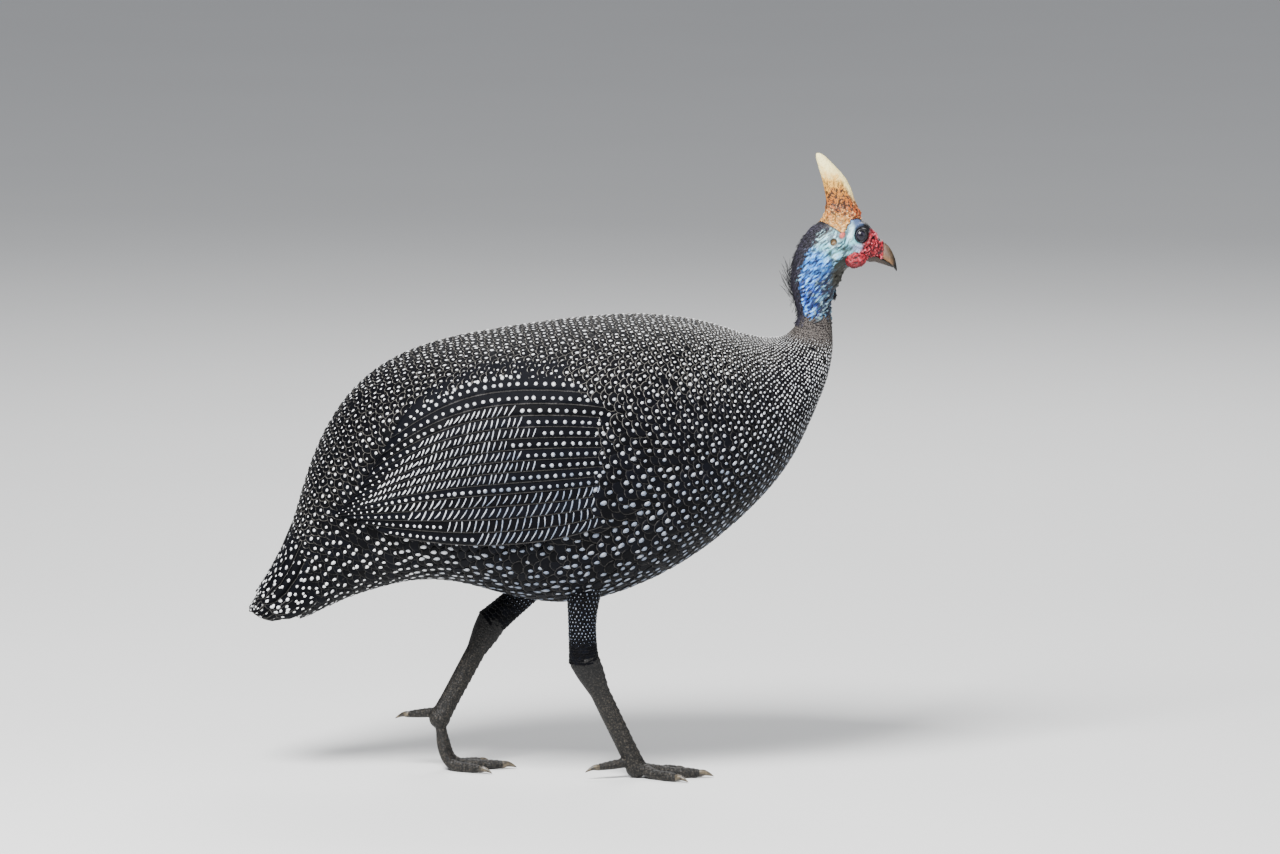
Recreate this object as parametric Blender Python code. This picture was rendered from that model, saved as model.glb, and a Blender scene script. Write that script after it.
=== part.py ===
"""A helmeted guinea fowl in mid-stride, life size, as a still model.

Metres, +Z up, +X towards the bill and +Y the bird's left. The origin lies on the floor,
under the middle of the bird. Tables and sizes are in millimetres, turned to metres by MM.
"""

import math

import bmesh
import bpy
import numpy as np
from mathutils import Matrix, Vector

MM = 0.001
RIGHT, LEFT = -1, 1
SIDE_NAMES = {RIGHT: "right", LEFT: "left"}

# The clearance that neighbouring pieces keep
GAP = 0.35 * MM

# Sections of neck, body and tail, from the back of the head to the tail tip.
# Each row: dorsal x, dorsal z, ventral x, ventral z, half width
BODY_SECTIONS = (
    (156.0, 365.0, 189.0, 352.0, 12.6),
    (153.6, 349.0, 184.0, 341.0, 12.4),
    (156.4, 335.0, 181.0, 331.5, 11.2),
    (158.4, 322.5, 181.4, 320.0, 10.6),
    (153.3, 313.7, 182.2, 308.0, 12.6),
    (145.6, 309.2, 181.6, 295.4, 18.0),
    (134.5, 308.4, 178.0, 279.5, 27.0),
    (118.5, 311.3, 170.8, 260.5, 38.5),
    (99.0, 317.6, 160.6, 237.6, 51.5),
    (75.0, 322.4, 146.6, 214.0, 64.0),
    (47.0, 324.6, 123.6, 188.0, 74.5),
    (15.0, 323.2, 91.0, 160.5, 81.0),
    (-20.0, 319.4, 49.0, 136.5, 84.0),
    (-57.0, 313.8, 0.0, 123.4, 83.5),
    (-92.0, 306.6, -45.0, 128.6, 79.5),
    (-124.0, 294.4, -82.0, 137.6, 71.5),
    (-150.0, 275.6, -112.0, 138.0, 61.0),
    (-169.0, 250.6, -131.0, 134.0, 50.0),
    (-181.5, 224.6, -146.5, 129.4, 41.5),
    (-190.0, 198.6, -162.0, 123.4, 35.5),
    (-198.0, 173.0, -177.0, 116.4, 31.5),
    (-208.0, 149.6, -192.0, 110.4, 28.0),
    (-219.0, 129.6, -208.0, 109.4, 23.5),
    (-226.0, 117.0, -219.5, 111.6, 16.0),
)
BODY_FULLNESS = 0.05
BODY_WIDEST_SHIFT = 0.06

# Where the loft is parted, as places along its rows
NECK_TOP, NECK_BASE = 0.0, 3.35
TORSO_START, TORSO_END = 3.39, 18.55
TAIL_START, TAIL_CORE_END = 18.60, 21.3
TORSO_RINGS, TORSO_SIDES = 35, 26
HEAD_RINGS, HEAD_SIDES = 18, 18

# Sections of the head, from the nape round the crown to the root of the bill
HEAD_SECTIONS = (
    (156.3, 365.8, 189.0, 352.8, 12.7),
    (159.0, 373.0, 190.4, 355.6, 13.3),
    (163.6, 381.2, 192.0, 357.6, 13.8),
    (170.6, 388.8, 193.8, 359.0, 14.0),
    (179.4, 393.6, 195.6, 360.4, 13.8),
    (190.0, 394.6, 198.0, 361.6, 13.5),
    (199.6, 392.8, 201.4, 362.6, 12.9),
    (206.4, 388.2, 204.8, 363.4, 11.4),
    (211.4, 382.6, 207.8, 363.8, 9.4),
    (215.4, 377.4, 210.6, 363.8, 7.6),
)
HEAD_FULLNESS = 0.02

EYE_AT = (201.8, 381.3)
EYE_RADIUS = 5.6
EYE_SIDE = 8.3
EAR_AT = (182.6, 376.6)
EAR_RADIUS = 1.9
LID_THICKNESS = 1.25
LID_INSET = 0.9
EAR_RIM = 0.8

# The line of the mouth runs on into the head as a shallow groove
GAPE_AT = (207.4, 365.6)
GAPE_GROOVE = (4.2, 1.3, 0.5)
NOSTRIL_AT = (218.4, 5.4, 372.4)
NOSTRIL_RADII = (1.7, 1.6, 1.0)

# Upper and lower bill: dorsal x, dorsal z, ventral x, ventral z, half width
UPPER_BILL_SECTIONS = (
    (216.1, 377.0, 212.5, 367.0, 6.9),
    (218.8, 375.4, 215.2, 365.2, 6.2),
    (222.0, 372.2, 219.0, 363.0, 5.0),
    (224.8, 367.0, 222.4, 360.6, 3.5),
    (226.6, 361.0, 225.0, 357.8, 1.9),
    (227.3, 356.0, 226.7, 355.4, 0.7),
)
LOWER_BILL_SECTIONS = (
    (212.6, 366.2, 211.4, 361.9, 5.9),
    (214.9, 364.8, 213.6, 360.6, 5.3),
    (218.6, 362.7, 217.2, 359.3, 4.2),
    (221.8, 360.3, 221.0, 358.4, 2.6),
    (223.6, 358.9, 223.4, 358.5, 0.9),
)

# The bony helmet: front and back outline, and half width, from base to tip
CASQUE_SECTIONS = (
    (204.0, 381.0, 172.0, 381.0, 8.6),
    (203.6, 390.5, 174.2, 391.0, 7.8),
    (200.6, 398.6, 176.9, 398.2, 6.7),
    (197.6, 405.6, 177.6, 404.4, 5.9),
    (195.0, 413.2, 176.6, 411.6, 5.2),
    (190.4, 421.6, 174.6, 420.4, 4.5),
    (182.8, 430.2, 172.0, 429.4, 3.6),
    (176.6, 436.2, 170.4, 436.0, 2.4),
    (172.6, 438.6, 170.9, 438.6, 0.9),
)

# Wattles hang at the corners of the gape
WATTLE_AT = (199.2, 9.6, 364.6)
WATTLE_RADII = (7.4, 2.3, 6.0)
WATTLE_LUMP = 0.35
WATTLE_LEAN = 0.25
WATTLE_SPREAD = 12.0

# How a toe comes down from the ball of the foot: share of its reach, share of the ball's height
PLANTED = ((0.0, 1.0), (0.16, 0.8), (0.34, 0.4), (0.54, 0.1), (0.74, 0.0), (0.9, 0.0), (1.0, 0.0))
PUSHING_OFF = ((0.0, 1.0), (0.03, 0.72), (0.08, 0.42), (0.2, 0.12), (0.47, 0.0), (0.78, 0.0), (1.0, 0.0))

# Legs: hip side of the drumstick, hock, ball of the foot, as x, y, z with +Y outwards
LEGS = {
    RIGHT: {
        "top": (11.0, 34.0, 160.0),
        "knee": (7.4, 33.0, 118.0),
        "hock": (8.4, 30.0, 85.5),
        "ball": (45.0, 17.0, 7.0),
        "heading": -2.0,
        "toe_run": PLANTED,
    },
    LEFT: {
        "top": (12.0, 36.0, 165.0),
        "knee": (-23.5, 34.5, 132.5),
        "hock": (-57.0, 31.0, 103.5),
        "ball": (-93.5, 17.0, 37.0),
        "heading": 3.0,
        "toe_run": PUSHING_OFF,
    },
}
DRUMSTICK_RADII = (17.5, 11.2, 11.2)
DRUMSTICK_RINGS, DRUMSTICK_SIDES = 12, 16
FLATTENED = 0.8
HOCK_RADIUS = 9.8
SHANK_RADIUS = 6.9
ANKLE_RADIUS = 7.2
SHANK_PLACES = (0, 0.12, 0.3, 0.8, 1)
SHANK_RADII = (HOCK_RADIUS + 0.6, HOCK_RADIUS, SHANK_RADIUS, SHANK_RADIUS, ANKLE_RADIUS)
SHANK_SIDES = 12
SCUTES = 11
SCUTE_RISE = 0.7
SCUTE_OVERLAP = 0.86
SCUTES_FROM, SCUTES_TO = 0.09, 0.98
ANKLE_HEIGHT = 13.0

# Toes: name, heading away from the foot's own, length to the claw, radius at the root
TOES = (
    ("inner", 34.0, 33.0, 3.9),
    ("middle", 0.0, 44.0, 4.2),
    ("outer", -33.0, 34.0, 3.8),
)
KNUCKLES = (1.0, 0.92, 1.04, 0.9, 0.98, 0.84, 0.66)
TOE_REST = 0.78
PAD_RADII = (7.4, 6.6, 7.6)
PAD_SINK = 0.4
HIND_TOE_RADII = (3.6, 3.5, 3.2, 2.5)
HIND_TOE_TURN = 18.0
HIND_TOE_LENGTH = 25.0
HIND_TOE_RISE = 5.0
HIND_TOE_DROP = -0.12
CLAW_LENGTH = 10.0

# A claw from root to point: share of its length, height as a share of it, share of its radius
CLAW_STEPS = (
    (0.0, 0.0, 0.95),
    (0.3, 0.03, 0.8),
    (0.6, -0.03, 0.52),
    (0.85, -0.13, 0.26),
    (1.0, -0.2, 0.08),
)

# Edges of the folded wing seen from the side, as x and z, from the shoulder to the wing tip
WING_LOW_EDGE = (
    (64.0, 206.0),
    (28.0, 186.0),
    (-22.0, 177.0),
    (-72.0, 178.0),
    (-120.0, 184.0),
    (-166.0, 193.0),
)
WING_HIGH_EDGE = (
    (66.0, 250.0),
    (40.0, 281.0),
    (-16.0, 290.0),
    (-74.0, 283.0),
    (-124.0, 254.0),
    (-169.0, 203.0),
)
WING_CORE = {"rim": 1.2, "rise": 2.0, "sunk": 1.6}

# A feather blade: share of its length, share of its width there, its shaft's ridge and its thickness
VANE_PLACES = (0.0, 0.25, 0.6, 0.86, 1.0)
VANE_WIDTHS = (0.5, 0.85, 1.0, 0.78, 0.24)
VANE_RIDGE = 0.5
VANE_THICKNESS = 0.9

# Rows of feathers on the wing, from the lowest up. Root and tip give the place of the first and
# the last feather of a row, as (u, u) and (v, v); lift is the height over the body at root and tip
WING_ROWS = (
    {"count": 5, "root": ((0.34, 0.44), (0.04, 0.40)), "tip": ((0.80, 1.03), (-0.02, 0.30)),
     "width": 22.0, "lift": (2.2, 5.0), "segments": 3},
    {"count": 4, "root": ((0.40, 0.54), (0.56, 0.92)), "tip": ((0.82, 1.02), (0.42, 0.78)),
     "width": 28.0, "lift": (2.2, 5.4), "segments": 3},
    {"count": 6, "root": ((0.12, 0.54), (0.20, 0.56)), "tip": ((0.30, 0.74), (0.10, 0.42)),
     "width": 22.0, "lift": (2.4, 6.2), "segments": 2},
    {"count": 5, "root": ((0.04, 0.42), (0.46, 0.88)), "tip": ((0.21, 0.62), (0.32, 0.74)),
     "width": 24.0, "lift": (2.4, 6.4), "segments": 2},
)

# Rows of feathers round the tail: each spans an angle to both sides of the top
TAIL_ROWS = (
    {"count": 7, "root": 20.3, "tip": 22.95, "spread": 1.9, "droop": 0.08,
     "width": 19.0, "lift": (-0.4, 0.4), "segments": 3},
    {"count": 5, "root": 19.3, "tip": 21.9, "spread": 1.5, "droop": 0.12,
     "width": 23.0, "lift": (-0.2, 3.0), "segments": 3},
    {"count": 5, "root": 18.75, "tip": 20.4, "spread": 1.4, "droop": 0.12,
     "width": 26.0, "lift": (0.0, 3.4), "segments": 2},
)
TAIL_CLEAR = 6.0
TAIL_CLEAR_REACH = 3.0
TAIL_GATHER = 0.94

# The bristly mane down the nape: how many locks, from which section to which, and their size
NAPE_LOCKS = 8
NAPE_FROM, NAPE_REACH, NAPE_SPREAD = 0.12, 2.5, 0.55
NAPE_LOCK_WIDTH = 3.6
NAPE_LOCK_RUN = 0.55
NAPE_LOCK_LIFT = (0.2, 5.6, 3.6)


def spline(rows):
    """A natural cubic spline through the rows, at whole numbers from 0: returns a function of place."""
    rows = np.asarray(rows, float)
    count = len(rows)
    matrix = np.eye(count)
    right = np.zeros_like(rows)
    for i in range(1, count - 1):
        matrix[i, i - 1 : i + 2] = (1, 4, 1)
        right[i] = 6 * (rows[i - 1] - 2 * rows[i] + rows[i + 1])
    bend = np.linalg.solve(matrix, right)

    def at(place):
        place = np.asarray(place, float)
        i = np.clip(np.floor(place).astype(int), 0, count - 2)
        f = (place - i)[..., None]
        g = 1 - f
        curved = ((f**3 - f) * bend[i + 1] + (g**3 - g) * bend[i]) / 6
        return rows[i] * g + rows[i + 1] * f + curved

    return at


class Loft:
    """A form drawn through upright sections, each from a dorsal point to a ventral one with a half width.

    A place on it is (t, phi): t counts the sections and phi runs from 0 at the top to the bottom at pi.
    """

    def __init__(self, sections, fullness=0.0, widest_shift=0.0):
        self.curve = spline(np.array(sections) * MM)
        self.last = len(sections) - 1
        self.fullness = fullness
        self.widest_shift = widest_shift
        ahead = self.flat_point(self.last / 2 + 0.01, 0.0) - self.flat_point(self.last / 2, 0.0)
        row = self.curve(self.last / 2)
        up = np.array([row[0] - row[2], 0.0, row[1] - row[3]])
        self.girth = max(row[4] for row in sections) * MM
        self.turn = 1.0 if np.cross(ahead, (0.0, 1.0, 0.0)) @ up > 0 else -1.0

    def flat_point(self, t, phi):
        t, phi = np.broadcast_arrays(np.asarray(t, float), np.asarray(phi, float))
        row = self.curve(t)
        top, bottom = row[..., 0:2], row[..., 2:4]
        rise = np.cos(phi) + self.widest_shift * np.sin(phi) ** 2
        swell = (np.sin(phi) + self.fullness * np.sin(3 * phi)) / (1 - self.fullness)
        flat = (top + bottom) / 2 + (top - bottom) / 2 * rise[..., None]
        return np.stack([flat[..., 0], row[..., 4] * swell, flat[..., 1]], axis=-1)

    def normal(self, t, phi):
        """The outward normal at a place on the loft."""
        step = 0.01
        along = self.flat_point(np.asarray(t) + step, phi) - self.flat_point(np.asarray(t) - step, phi)
        around = self.flat_point(t, np.asarray(phi) + step) - self.flat_point(t, np.asarray(phi) - step)
        normal = np.cross(along, around)
        return normal * self.turn / (np.linalg.norm(normal, axis=-1, keepdims=True) + 1e-12)

    def point(self, t, phi, height=0.0):
        """The place on the loft, lifted off it by height along the outward normal."""
        return self.flat_point(t, phi) + self.normal(t, phi) * np.asarray(height)[..., None]

    def locate(self, x, z):
        """The (t, phi) whose point is seen at x, z from the side, with phi from 0 to pi."""
        x, z = np.broadcast_arrays(np.asarray(x, float), np.asarray(z, float))
        low, high = np.zeros(x.shape), np.full(x.shape, float(self.last))
        for _ in range(40):
            middle = (low + high) / 2
            row = self.curve(middle)
            down_x, down_z = row[..., 2] - row[..., 0], row[..., 3] - row[..., 1]
            across = down_x * (z - row[..., 1]) - down_z * (x - row[..., 0])
            further = self.turn * across > 0
            low, high = np.where(further, middle, low), np.where(further, high, middle)
        row = self.curve(low)
        axis = row[..., 0:2] - row[..., 2:4]
        offset = np.stack([x, z], axis=-1) - (row[..., 0:2] + row[..., 2:4]) / 2
        rise = 2 * (offset * axis).sum(-1) / (axis**2).sum(-1)
        shift = self.widest_shift
        if shift:
            cosine = (1 - np.sqrt(np.maximum(1 - 4 * shift * (rise - shift), 0))) / (2 * shift)
        else:
            cosine = rise
        return low, np.arccos(np.clip(cosine, -1, 1))


BODY = Loft(BODY_SECTIONS, BODY_FULLNESS, BODY_WIDEST_SHIFT)
HEAD = Loft(HEAD_SECTIONS, HEAD_FULLNESS)


def make_material(name, colour, roughness, metallic=0.0):
    material = bpy.data.materials.new(name)
    material.use_nodes = True
    shader = material.node_tree.nodes["Principled BSDF"]
    shader.inputs["Base Color"].default_value = (*colour, 1.0)
    shader.inputs["Roughness"].default_value = roughness
    shader.inputs["Metallic"].default_value = metallic
    return material


def new_object(name, verts, faces):
    """A mesh object whose faces point outwards."""
    mesh = bpy.data.meshes.new(name)
    mesh.from_pydata([tuple(map(float, v)) for v in verts], [], [tuple(map(int, f)) for f in faces])
    form = bmesh.new()
    form.from_mesh(mesh)
    bmesh.ops.recalc_face_normals(form, faces=form.faces)
    if form.calc_volume(signed=True) < 0:
        bmesh.ops.reverse_faces(form, faces=form.faces)
    form.to_mesh(mesh)
    form.free()
    obj = bpy.data.objects.new(name, mesh)
    bpy.context.scene.collection.objects.link(obj)
    return obj


def rings_to_faces(rings, sides):
    """Quads between closed rings of points, with a cap at each end."""
    faces = []
    for i in range(rings - 1):
        for j in range(sides):
            k = (j + 1) % sides
            faces.append((i * sides + j, i * sides + k, (i + 1) * sides + k, (i + 1) * sides + j))
    faces.append(tuple(range(sides)))
    faces.append(tuple(range((rings - 1) * sides, rings * sides))[::-1])
    return faces


def loft_object(name, loft, start, end, rings, sides, height=0.0):
    t, phi = np.meshgrid(
        np.linspace(start, end, rings),
        np.linspace(0, 2 * math.pi, sides, endpoint=False),
        indexing="ij",
    )
    points = loft.point(t, phi, np.full(t.shape, height))
    return new_object(name, points.reshape(-1, 3), rings_to_faces(rings, sides))


def tube_object(name, path, radii, sides, squash=1.0, start_direction=None):
    """A tube along a list of points, with a radius at each; squash narrows it from side to side."""
    path = [Vector(p) for p in path]
    verts = []
    for i, (centre, radius) in enumerate(zip(path, radii)):
        ahead = (path[min(i + 1, len(path) - 1)] - path[max(i - 1, 0)]).normalized()
        if i == 0 and start_direction is not None:
            ahead = Vector(start_direction).normalized()
        across = Vector((0, 1, 0)) - ahead * ahead.y
        across.normalize()
        up = across.cross(ahead)
        for j in range(sides):
            turn = 2 * math.pi * j / sides
            verts.append(centre + (across * math.cos(turn) * squash + up * math.sin(turn)) * radius)
    return new_object(name, verts, rings_to_faces(len(path), sides))


def smooth_path(points, count):
    """Points along a spline through a few points, evenly spaced by the spline's own parameter."""
    curve = spline(points)
    return curve(np.linspace(0, len(points) - 1, count))


def boolean(obj, others, operation, solver="EXACT"):
    """Applies one Boolean between obj and a collection of helpers, then removes the helpers."""
    helpers = bpy.data.collections.new("helpers")
    bpy.context.scene.collection.children.link(helpers)
    for other in others:
        for owner in list(other.users_collection):
            owner.objects.unlink(other)
        helpers.objects.link(other)
    modifier = obj.modifiers.new("boolean", "BOOLEAN")
    modifier.operation = operation
    modifier.solver = solver
    modifier.operand_type = "COLLECTION"
    modifier.collection = helpers
    graph = bpy.context.evaluated_depsgraph_get()
    mesh = bpy.data.meshes.new_from_object(obj.evaluated_get(graph))
    obj.modifiers.clear()
    obj.data = mesh
    for other in others:
        bpy.data.objects.remove(other)
    bpy.data.collections.remove(helpers)
    keep_largest(obj)


def keep_largest(obj):
    """Drops loose scraps and sealed hollows that a Boolean left, and keeps the largest closed surface."""
    form = bmesh.new()
    form.from_mesh(obj.data)
    bmesh.ops.remove_doubles(form, verts=form.verts, dist=1e-7)
    seen, groups = set(), []
    for start in form.faces:
        if start.index in seen:
            continue
        group, queue = [], [start]
        seen.add(start.index)
        while queue:
            face = queue.pop()
            group.append(face)
            for edge in face.edges:
                for other in edge.link_faces:
                    if other.index not in seen:
                        seen.add(other.index)
                        queue.append(other)
        groups.append(group)
    groups.sort(key=lambda g: -sum(f.calc_area() for f in g))
    scraps = [f for g in groups[1:] for f in g]
    bmesh.ops.delete(form, geom=scraps, context="FACES")
    form.to_mesh(obj.data)
    form.free()


def finish(obj, material, sharp_angle=40.0):
    obj.data.materials.clear()
    obj.data.materials.append(material)
    obj.data.shade_smooth()
    obj.data.set_sharp_from_angle(angle=math.radians(sharp_angle))
    return obj


def make_torso(material):
    return finish(loft_object("torso", BODY, TORSO_START, TORSO_END, TORSO_RINGS, TORSO_SIDES), material)


def torso_cover():
    """The torso grown by the clearance, with facets that match its own, to cut what lies on it."""
    return loft_object("cover", BODY, TORSO_START, TORSO_END, TORSO_RINGS, TORSO_SIDES, GAP)


def make_neck(material):
    """The bare neck, with a mane of short bristly locks down the nape."""
    neck = loft_object("neck", BODY, NECK_TOP, NECK_BASE, 12, 18)
    locks = []
    for i in range(NAPE_LOCKS):
        share = i / (NAPE_LOCKS - 1)
        turn = NAPE_SPREAD * (1 if i % 2 else -1) * (0.4 + 0.6 * share)
        root = (NAPE_FROM + NAPE_REACH * share, turn)
        tip = (root[0] + NAPE_LOCK_RUN, turn * 0.8)
        lift = (NAPE_LOCK_LIFT[0], np.interp(share, (0, 1), NAPE_LOCK_LIFT[1:]))
        locks.append(vane(BODY, root, tip, NAPE_LOCK_WIDTH, lift, 3))
    boolean(neck, locks, "UNION", "MANIFOLD")
    return finish(neck, material)


def sphere(name, centre, radii, segments=20, rings=12):
    bpy.ops.mesh.primitive_uv_sphere_add(segments=segments, ring_count=rings, radius=1.0)
    obj = bpy.context.object
    obj.name = name
    obj.data.transform(Matrix.Diagonal((*[r * MM for r in radii], 1.0)))
    obj.data.transform(Matrix.Translation(Vector(centre) * MM))
    return obj


def eye_centre(side):
    return (EYE_AT[0], side * EYE_SIDE, EYE_AT[1])


def make_eye(side, material):
    eye = sphere(f"eye_{SIDE_NAMES[side]}", eye_centre(side), (EYE_RADIUS,) * 3, 14, 8)
    return finish(eye, material)


def head_surface_y(x, z):
    t, phi = HEAD.locate(x * MM, z * MM)
    return float(HEAD.flat_point(t, phi)[1]) / MM


def make_head(material):
    """The head with its lids, ear holes and eye sockets; bill, helmet and wattles are their own pieces."""
    head = loft_object("head", HEAD, 0.0, HEAD.last, HEAD_RINGS, HEAD_SIDES)
    rims, sockets = [], []
    for side in (RIGHT, LEFT):
        x, _, z = eye_centre(side)
        surface = head_surface_y(x, z)
        bpy.ops.mesh.primitive_torus_add(
            major_segments=14,
            minor_segments=6,
            major_radius=(EYE_RADIUS - LID_INSET) * MM,
            minor_radius=LID_THICKNESS * MM,
            location=(x * MM, side * (surface + 0.35) * MM, z * MM),
            rotation=(math.radians(90), 0, 0),
        )
        rims.append(bpy.context.object)
        ear_y = head_surface_y(*EAR_AT)
        bpy.ops.mesh.primitive_torus_add(
            major_segments=8,
            minor_segments=6,
            major_radius=EAR_RADIUS * MM,
            minor_radius=EAR_RIM * MM,
            location=(EAR_AT[0] * MM, side * ear_y * MM, EAR_AT[1] * MM),
            rotation=(math.radians(90), 0, 0),
        )
        rims.append(bpy.context.object)
        sockets.append(sphere("socket", eye_centre(side), (EYE_RADIUS + GAP / MM,) * 3, 14, 8))
        hole = EAR_RADIUS - EAR_RIM / 2
        sockets.append(sphere("ear", (EAR_AT[0], side * ear_y, EAR_AT[1]), (hole, 2.2, hole), 8, 6))
        gape_y = head_surface_y(*GAPE_AT)
        sockets.append(sphere("gape", (GAPE_AT[0], side * gape_y, GAPE_AT[1]), GAPE_GROOVE, 8, 4))
    boolean(head, rims, "UNION")
    boolean(head, sockets, "DIFFERENCE")
    return finish(head, material)


def make_bill(material):
    """Upper and lower bill, parted by the line of the mouth, with the nostrils cut in."""
    upper = loft_object("bill_upper", Loft(UPPER_BILL_SECTIONS), 0.0, 5.0, 10, 14)
    x, y, z = NOSTRIL_AT
    cuts = [sphere("nostril", (x, side * y, z), NOSTRIL_RADII, 8, 6) for side in (RIGHT, LEFT)]
    boolean(upper, cuts, "DIFFERENCE")
    lower = loft_object("bill_lower", Loft(LOWER_BILL_SECTIONS), 0.0, 4.0, 8, 12)
    for obj in (upper, lower):
        finish(obj, material)


def make_casque(material):
    """The helmet, its foot cut to the shape of the crown."""
    casque = loft_object("casque", Loft(CASQUE_SECTIONS, 0.03), 0.0, 8.0, 16, 14)
    crown = loft_object("crown", HEAD, 0.0, HEAD.last, HEAD_RINGS, HEAD_SIDES, GAP)
    boolean(casque, [crown], "DIFFERENCE")
    return finish(casque, material)


def make_wattle(side, material):
    """A flat fold that hangs from the corner of the gape, clear of head and bill."""
    name = f"wattle_{SIDE_NAMES[side]}"
    x, y, z = WATTLE_AT
    wattle = sphere(name, (0, 0, 0), WATTLE_RADII, 14, 10)
    for vertex in wattle.data.vertices:
        co = vertex.co / MM
        lump = WATTLE_LUMP * math.sin(co.x * 1.1 + 0.6) * math.cos(co.z * 1.2)
        vertex.co.y += side * lump * MM
        vertex.co.x += WATTLE_LEAN * min(co.z, 0) * MM
    wattle.data.transform(Matrix.Rotation(math.radians(-side * WATTLE_SPREAD), 4, "X"))
    wattle.data.transform(Matrix.Translation(Vector((x, side * y, z)) * MM))
    clear = [loft_object("clear", HEAD, 0.0, HEAD.last, HEAD_RINGS, HEAD_SIDES, GAP)]
    boolean(wattle, clear, "DIFFERENCE")
    return finish(wattle, material)


def leg_points(side):
    leg = LEGS[side]
    return {
        key: Vector((leg[key][0], side * leg[key][1], leg[key][2])) * MM
        for key in ("top", "knee", "hock", "ball")
    }


def make_leg(side, materials):
    """Drumstick, shank and foot of one leg, with its claws."""
    word = SIDE_NAMES[side]
    p = leg_points(side)
    drum_path = smooth_path([p["top"], p["knee"], p["hock"]], DRUMSTICK_RINGS)
    places = np.linspace(0, 2, DRUMSTICK_RINGS)
    drum_radii = np.interp(places, (0, 1, 2), DRUMSTICK_RADII) * MM
    drumstick = tube_object(f"drumstick_{word}", drum_path, drum_radii, DRUMSTICK_SIDES, FLATTENED)
    boolean(drumstick, [torso_cover()], "DIFFERENCE")
    finish(drumstick, materials["plumage"])

    end_direction = Vector(drum_path[-1] - drum_path[-2]).normalized()
    start = p["hock"] + end_direction * 1.4 * GAP
    ankle = p["ball"] + (start - p["ball"]).normalized() * ANKLE_HEIGHT * MM
    shank = scuted_shank(f"shank_{word}", start, ankle, end_direction)
    finish(shank, materials["leg"])
    make_foot(side, ankle, p["ball"], materials)


def scuted_shank(name, start, ankle, end_direction):
    """The bare shank, with a row of overlapping scutes down its front, each a step in its own surface."""
    share, raised = [0.0], [0.0]
    for i in range(SCUTES):
        for within, rise in ((0.0, 0.0), (SCUTE_OVERLAP, SCUTE_RISE)):
            share.append(SCUTES_FROM + (SCUTES_TO - SCUTES_FROM) * (i + within) / SCUTES)
            raised.append(rise)
    share.append(1.0)
    raised.append(0.0)
    path = [start.lerp(ankle, s) for s in share]
    radii = np.interp(share, SHANK_PLACES, SHANK_RADII) * MM
    shank = tube_object(name, path, radii, SHANK_SIDES, FLATTENED, end_direction)
    for i, rise in enumerate(raised):
        for j in range(SHANK_SIDES):
            vertex = shank.data.vertices[i * SHANK_SIDES + j]
            out = vertex.co - path[i]
            front = max(out.normalized().x, 0.0) ** 0.5
            vertex.co += out.normalized() * rise * front * MM
    return shank


def toe_path(root, heading, reach, radius, run):
    """A toe that comes down from its root and runs flat along the floor."""
    direction = Vector((math.cos(heading), math.sin(heading), 0))
    rest = radius * TOE_REST
    return [
        Vector((root.x, root.y, rest + (root.z - rest) * drop)) + direction * reach * share
        for share, drop in run
    ]


def make_foot(side, ankle, ball, materials):
    """Three front toes and the small hind toe, joined at the ball, with flats under the pads."""
    word = SIDE_NAMES[side]
    heading = math.radians(LEGS[side]["heading"])
    down = (ball - ankle).normalized()
    top = ankle + down * GAP
    stub_radii = [ANKLE_RADIUS * MM, 0.97 * ANKLE_RADIUS * MM, 0.83 * ANKLE_RADIUS * MM]
    stub_path = [top, top.lerp(ball, 0.5), ball]
    foot = tube_object(f"foot_{word}", stub_path, stub_radii, 14, FLATTENED)
    pieces, claws = [], []
    for name, spread, length, radius in TOES:
        angle = heading - side * math.radians(spread)
        path = toe_path(ball, angle, length * MM, radius * MM, LEGS[side]["toe_run"])
        radii = [radius * k * MM for k in KNUCKLES]
        pieces.append(tube_object("toe", path, radii, 10))
        claws.append((name, path[-1], Vector((math.cos(angle), math.sin(angle), 0)), radius * KNUCKLES[-1]))
    pad_height = min(ball.z / MM + PAD_SINK, PAD_RADII[2])
    pieces.append(sphere("pad", tuple(v / MM for v in ball), (*PAD_RADII[:2], pad_height), 14, 10))
    back = heading + math.pi - side * math.radians(HIND_TOE_TURN)
    direction = Vector((math.cos(back), math.sin(back), HIND_TOE_DROP)).normalized()
    root = ball - down * HIND_TOE_RISE * MM
    hind = [root + direction * HIND_TOE_LENGTH * MM * s for s in (0.0, 0.35, 0.7, 1.0)]
    pieces.append(tube_object("hind", hind, [r * MM for r in HIND_TOE_RADII], 8))
    claws.append(("hind", hind[-1], direction, HIND_TOE_RADII[-1]))
    boolean(foot, pieces, "UNION")
    for vertex in foot.data.vertices:
        vertex.co.z = max(vertex.co.z, 0.0)
    finish(foot, materials["leg"])
    for name, place, direction, radius in claws:
        make_claw(f"claw_{word}_{name}", place, direction, radius, materials["claw"])


def make_claw(name, root, direction, radius, material):
    """A blunt, slightly hooked claw, standing just off the end of its toe."""
    path = [
        root + direction * (GAP + CLAW_LENGTH * MM * s) + Vector((0, 0, CLAW_LENGTH * MM * h))
        for s, h, _ in CLAW_STEPS
    ]
    claw = tube_object(name, path, [radius * MM * r for _, _, r in CLAW_STEPS], 10, FLATTENED, direction)
    for vertex in claw.data.vertices:
        vertex.co.z = max(vertex.co.z, 0.0)
    return finish(claw, material)


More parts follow.
